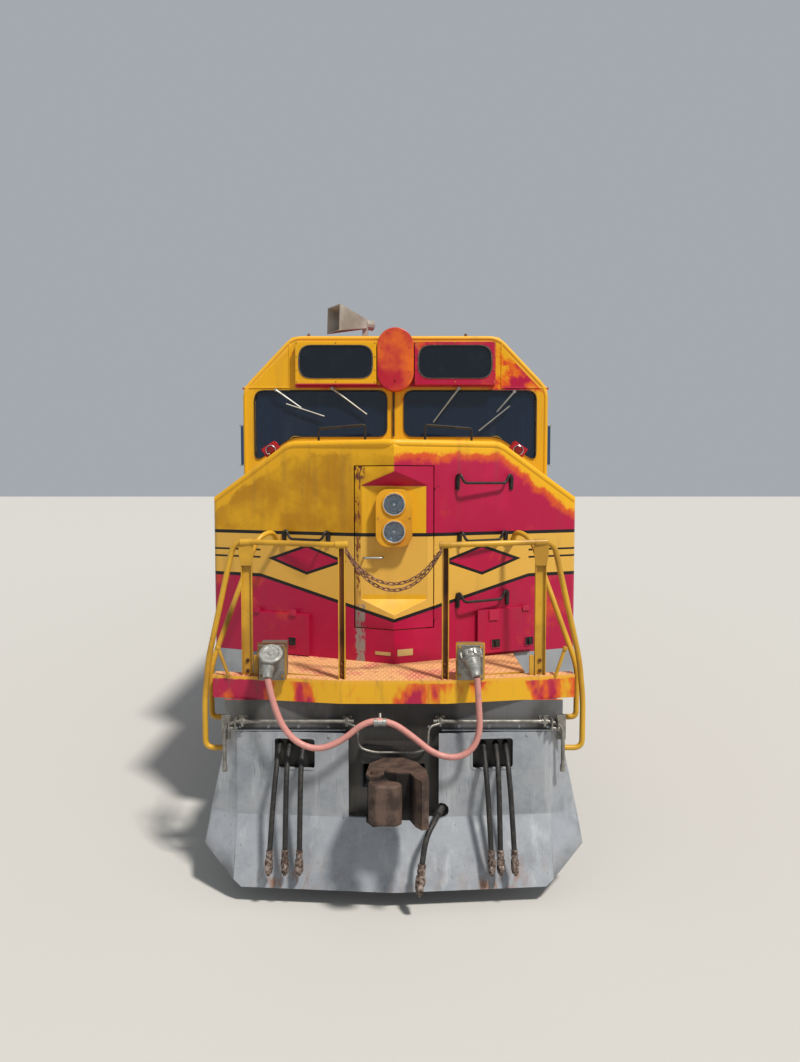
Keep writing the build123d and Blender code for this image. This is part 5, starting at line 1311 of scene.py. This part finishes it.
def door_fittings(shape, place, pane, latch, kick):
    """A pane in its rubber, a latch plate and a kick plate, from their spans along the door."""
    outline = corners(pane, (2860, 3330))
    plate(shape, rounded(outline, 50, ring=True), place, 3, 2)
    frame_plate(shape, outline, place, 16, 9, 50, finish=1)
    block(shape, latch, (-6, 0), (2380, 2560), place, finish=3)
    block(shape, kick, (-4, 0), (1665, 1960), place, finish=3)


DOOR_FINISH = ["silver", "gasket", "glass_dark", "aluminium"]
hinge = bmesh.new()
for side, name in zip(SIDES, ("left", "right")):
    wall = at_side(side)
    shape = bmesh.new()
    latch = side * -5205
    door_fittings(shape, wall, span(side, -5135, -4835), (latch - 26, latch + 26),
                  span(side, -5265, -4705))
    bar(shape, spot(wall, latch, -6, 2500), spot(wall, latch, -52, 2500), 11, 14, finish=3)
    bar(shape, spot(wall, latch - side * 14, -46, 2500), spot(wall, latch + side * 120, -46, 2500),
        10, 14, finish=3)
    show(f"{name}_door_fittings", shape, DOOR_FINISH, body=f"{name}_door_leaf", edges=1)
    for z in (1850, 2600, 3350):
        bar(hinge, (side * 1556, -4684, z - 60), (side * 1556, -4684, z + 60), 12, 14)
        block(hinge, span(side, 1549, 1555), (-4684, -4620), (z - 50, z + 50))
show("side_door_hinges", hinge, "silver", edges=1)

# %% [markdown]
# The long cowl is sheet steel on hidden posts. Cover strips hide each joint, with rivets in
# pairs beside them, and a gutter runs along the eaves. A belt strip under the intakes stops at
# the side doors, so that they can open.

# %% Cowl seams
INTAKES = ((-4400, -2700), (-900, 900), (2900, 7500))
INTAKE_Z = (3260, 3870)
COWL_END = 10425
BELTS = ((3972, 16, -5592, COWL_END), (1596, 8, -5592, COWL_END), (3196, 5, -5592, -5320),
         (3196, 5, -4650, COWL_END), (3972, 16, -7860, -5608))
strips = bmesh.new()
seam_y = [-4552, *range(FIRST_SEAM, 10400, SEAM_PITCH), 10424]
for side in SIDES:
    wall = at_side(side)
    for y in seam_y:
        at_intake = any(low - 30 < y < high + 30 for low, high in INTAKES)
        runs = ((DECK_Z + 6, 3200), (3930, 3970)) if at_intake else ((DECK_Z + 6, 3970),)
        for z0, z1 in runs:
            block(strips, span(side, y - 22, y + 22), (-5, 0), (z0, z1), wall)
            for z in range(z0 + 60, z1 - 20, 300):
                bolts(strips, [wall @ facing(side * y + d, -5, z) for d in (-13, 13)], 5, 3, 8)
    for z, deep, start, end in BELTS:
        block(strips, span(side, start, end), (-deep, 0), (z - 9, z + 9), wall)
show("cowl_strips", strips, "side", edges=1)
print(len(seam_y), "seams on each side")

# %% [markdown]
# The intakes have level stainless louvres in a frame, tilted so that rain runs off outwards.
# Behind them a black filter mat keeps the engine room dark.

# %% Intakes
LOUVRE_PITCH = 44
LOUVRE_TILT = -0.6
louvres = bmesh.new()
filters = bmesh.new()
for side in SIDES:
    wall = at_side(side)
    for low, high in INTAKES:
        ends = span(side, low + 30, high - 30)
        block(filters, ends, (58, 64), INTAKE_Z, wall)
        for z in range(INTAKE_Z[0] + 24, INTAKE_Z[1] - 10, LOUVRE_PITCH):
            tilted = wall @ at(0, 2, z) @ Matrix.Rotation(LOUVRE_TILT, 4, "X")
            block(louvres, ends, (-18, 18), (-1.5, 1.5), tilted)
        frame_plate(louvres, corners(ends, INTAKE_Z), wall, 34, 7, 12)
show("intake_louvres", louvres, "stainless")
show("intake_filters", filters, "black")

# %% [markdown]
# Fans draw cooling air out through the roof. Each turns in a rolled steel ring with a rounded
# lip, under a guard of welded rings and spokes.

# %% Fan rings and guards
FAN_Y = (-4700, -3350, 3700, 5200, 6700)
FAN_RING = ((619, 0), (619, 158), (624, 166), (634, 170), (646, 168), (652, 160), (652, 30),
            (658, 18), (658, 0))
GUARD_RINGS = (150, 260, 370, 480, 590)
GUARD_Z = 4652
SPOKE = ((140, 4648), (380, 4646), (622, 4640))


def about_fan(y, radius, angle, z):
    """A point above the roof at a distance and an angle from a fan's middle."""
    return radius * math.cos(angle), y + radius * math.sin(angle), z


for number, y in enumerate(FAN_Y, 1):
    shape = bmesh.new()
    place = facing(0, y, ROOF_Z, (0, 0, 1))
    turned(shape, FAN_RING, place, 64)
    turned(shape, ((150, 128), (150, 134), (0.5, 140)), place, 32)
    show(f"fan_ring_{number}", shape, "silver", replaced="fan_shrouds")
    rings = [[about_fan(y, radius, a, GUARD_Z) for a in around(36)] for radius in GUARD_RINGS]
    bars(f"fan_guard_{number}", rings, 4, "steel", bend=1, ring=True)
    spokes = [[about_fan(y, radius, a, z) for radius, z in SPOKE] for a in around(16)]
    bars(f"fan_spokes_{number}", spokes, 5, "steel", bend=10)

# %% [markdown]
# Rows of bolts hold the roof hatches down, each hatch has four eyes to lift it by, and cover
# strips over the joints follow the roof down its two slopes. A square collar holds the stack.

# %% Roof fittings
HATCHES = (-5600, -2550, 2800, 7600, 10380)
EYE_X = 990
ROOF_SLOPE = math.atan2(520, 500)
shape = bmesh.new()
for low, high in zip(HATCHES, HATCHES[1:]):
    for side in SIDES:
        x = side * EYE_X
        for y in (low + 60, high - 60):
            block(shape, (x - 8, x + 8), (y - 34, y + 34), (4488, 4496))
            eye = staple((x, y - 24, 4494), (x, y + 24, 4494), (0, 0, 46))
            for a, b in zip(eye, eye[1:]):
                bar(shape, a, b, 8, 10)
        bolts(shape, [facing(side * 1020, y, ROOF_Z, (0, 0, 1))
                      for y in range(low + 150, high - 100, 300)], 11, 7)
for y in HATCHES:
    block(shape, (-1046, 1046), (y - 24, y + 28), (4489, 4495))
    for side in SIDES:
        slope = at(side * 1300, y, 4230) @ Matrix.Rotation(side * ROOF_SLOPE, 4, "Y")
        block(shape, (-352, 352), (-24, 28), (-2, 5), slope)
for x, y in (((-326, 326), (-66, -54)), ((-326, 326), (454, 466)), ((-326, -314), (-66, 466)),
             ((314, 326), (-66, 466))):
    block(shape, x, y, (4700, 4724))
show("roof_fittings", shape, "silver", edges=2)

# %% [markdown]
# A wheel is rolled steel: a hub, a dished plate and a rim with a flange. It is turned from one
# profile in three parts. Running and brake shoes polish the tread and the flange, the rest rusts.

# %% Wheels
AXLE_Z = 534
WHEEL = ((96, 136), (150, 136), (161, 122), (182, 100), (410, 66), (440, 74), (450, 122),
         (457, 130), (499, 130), (505, 124))
TREAD = ((505, 124), (508, 36), (514, 29), (524, 24), (531, 18), (534, 12), (531, 5), (522, 0))
BACK = ((522, 0), (454, 0), (442, 12), (418, 24), (190, 52), (164, 20), (152, -6), (96, -6))
axle_y = []
for number in range(1, 7):
    low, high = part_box(f"wheelset_{number}")
    y = (low[1] + high[1]) * 500
    axle_y.append(y)
    shape = bmesh.new()
    for side in SIDES:
        place = facing(side * 678, y, AXLE_Z, (side, 0, 0))
        for profile, finish in ((WHEEL, 0), (TREAD, 1), (BACK, 0)):
            turned(shape, profile, place, 72, finish, capped=False)
        bar(shape, (side * 814, y, AXLE_Z), (side * 1068, y, AXLE_Z), 79, 32)
    bar(shape, (-676, y, AXLE_Z), (676, y, AXLE_Z), 94, 32)
    bmesh.ops.remove_doubles(shape, verts=shape.verts, dist=0.00002)
    show(f"wheels_{number}", shape, ["wheel", "tread"], body=f"axle_{number}",
         replaced=f"wheelset_{number}")
print("axles at", [round(y) for y in axle_y])

# %% [markdown]
# Each axle box has a round bearing cap with four bolts and hangs under two coil springs. A coil
# is a helix of round bar, which a curve gives best.

# %% Truck fittings
CAP = ((132, 0), (132, 14), (124, 20), (92, 20), (84, 34), (58, 40), (0.5, 41))
CAP_BOLTS_R = 108
COIL_R = 64
COIL_Z = 676
COIL_HIGH = 172
COIL_TURNS = 5
COIL_STEPS = 20
axle_y.sort()
for truck, axles in (("front_truck", axle_y[:3]), ("rear_truck", axle_y[3:])):
    caps = bmesh.new()
    coils = round_curve(f"{truck}_coils", 11, "rusty", roundness=2, caps=False)
    for side in SIDES:
        for y in axles:
            turned(caps, CAP, facing(side * 1148, y, AXLE_Z, (side, 0, 0)), 40)
            bolts(caps, [facing(side * 1166, y + CAP_BOLTS_R * math.cos(a),
                                AXLE_Z + CAP_BOLTS_R * math.sin(a), (side, 0, 0))
                         for a in around(4, math.pi / 4)], 15, 12)
            for spring_y in (y - 95, y + 95):
                lay(coils, [mm(side * 1040 + COIL_R * math.cos(2 * math.pi * i / COIL_STEPS),
                               spring_y + COIL_R * math.sin(2 * math.pi * i / COIL_STEPS),
                               COIL_Z + COIL_HIGH * i / (COIL_TURNS * COIL_STEPS))
                            for i in range(COIL_TURNS * COIL_STEPS + 1)])
    show(f"{truck}_bearing_caps", caps, "rusty", body=truck)
    put(f"{truck}_coil_springs", coils, truck)

# %% [markdown]
# The fuel tank is welded plate. Straps stand on its sides at the baffles, and each side has a
# filler with a cap, turned from one profile, and a drain plug.

# %% Tank fittings
FILLER = ((64, 0), (64, 30), (52, 36), (52, 58), (60, 60), (60, 78), (50, 84), (0.5, 84))
shape = bmesh.new()
for y in range(-2600, 2700, 1300):
    for side in SIDES:
        block(shape, span(side, 1366, 1378), (y - 40, y + 40), (610, 1180))
        bolts(shape, [facing(side * 1378, y, z, (side, 0, 0)) for z in (650, 1140)], 16, 12)
for side in SIDES:
    turned(shape, FILLER, facing(side * 1370, -1950, 1020, (side, 0, 0.25)), 32)
    bar(shape, (side * 1370, -2350, 700), (side * 1400, -2350, 700), 26, 6)
show("tank_fittings", shape, "rusty", edges=1)

# %% [markdown]
# The rear door has the fittings of the side doors and a bent bar handle. Cover strips edge the
# flat end wall.

# %% Rear door and wall
shape = bmesh.new()
back = at(0, REAR_Y, 0) @ Matrix.Rotation(math.pi, 4, "Z")
door_fittings(shape, back, (-140, 140), (-262, -214), (-280, 280))
bars("rear_handle", [[(238, 10432, 2440), (238, 10478, 2440), (130, 10478, 2440)]], 10, "steel",
     body="rear_door_leaf", bend=18)
show("rear_door_fittings", shape, DOOR_FINISH, body="rear_door_leaf", edges=1)
shape = bmesh.new()
for x, y, z in (((-1549, -1505), 6, (DECK_Z + 4, 3970)), ((1505, 1549), 6, (DECK_Z + 4, 3970)),
                ((-1540, 1540), 8, (3960, 3978))):
    block(shape, x, (REAR_Y, REAR_Y + y), z)
show("rear_strips", shape, "silver", edges=1)

# %% [markdown]
# The studio is a pale floor that runs out of sight, a pale sky of even light, and one big soft
# sun from high on the right, where it stands in the photograph.

# %% Studio
FLOOR_HALF = 150
FLOOR_Z = -2
SKY_STRENGTH = 0.52
SUN_STRENGTH = 3.9
SUN_WIDE = 6
SUN_COLOUR = (1.0, 0.96, 0.9)
SUN_FALL = (-0.52, 0.64, -1.25)
coords = new_paint("floor", "studio_paper")
close("#BFBDB8", 0.9, tree=coords.id_data)
floor_mesh = bpy.data.meshes.new("studio_floor")
floor_mesh.from_pydata([(x, y, FLOOR_Z / 1000) for x, y in corners((-FLOOR_HALF, FLOOR_HALF),
                                                                   (-FLOOR_HALF, FLOOR_HALF))],
                       [], [(0, 1, 2, 3)])
floor_mesh.materials.append(paints["floor"])
floor = bpy.data.objects.new("studio_floor", floor_mesh)
bpy.context.scene.collection.objects.link(floor)
world = bpy.data.worlds.new("studio_light")
bpy.context.scene.world = world
world.use_nodes = True
background = world.node_tree.nodes["Background"]
background.inputs["Color"].default_value = hex_colour("#DCE3EA")
background.inputs["Strength"].default_value = SKY_STRENGTH
sun_data = bpy.data.lights.new("studio_sun", "SUN")
sun_data.energy = SUN_STRENGTH
sun_data.angle = math.radians(SUN_WIDE)
sun_data.color = SUN_COLOUR
sun = bpy.data.objects.new("studio_sun", sun_data)
bpy.context.scene.collection.objects.link(sun)
sun.rotation_euler = Vector(SUN_FALL).to_track_quat("-Z", "Y").to_euler()
bpy.context.scene.view_settings.view_transform = "Standard"
print("floor, sky and sun are in place")
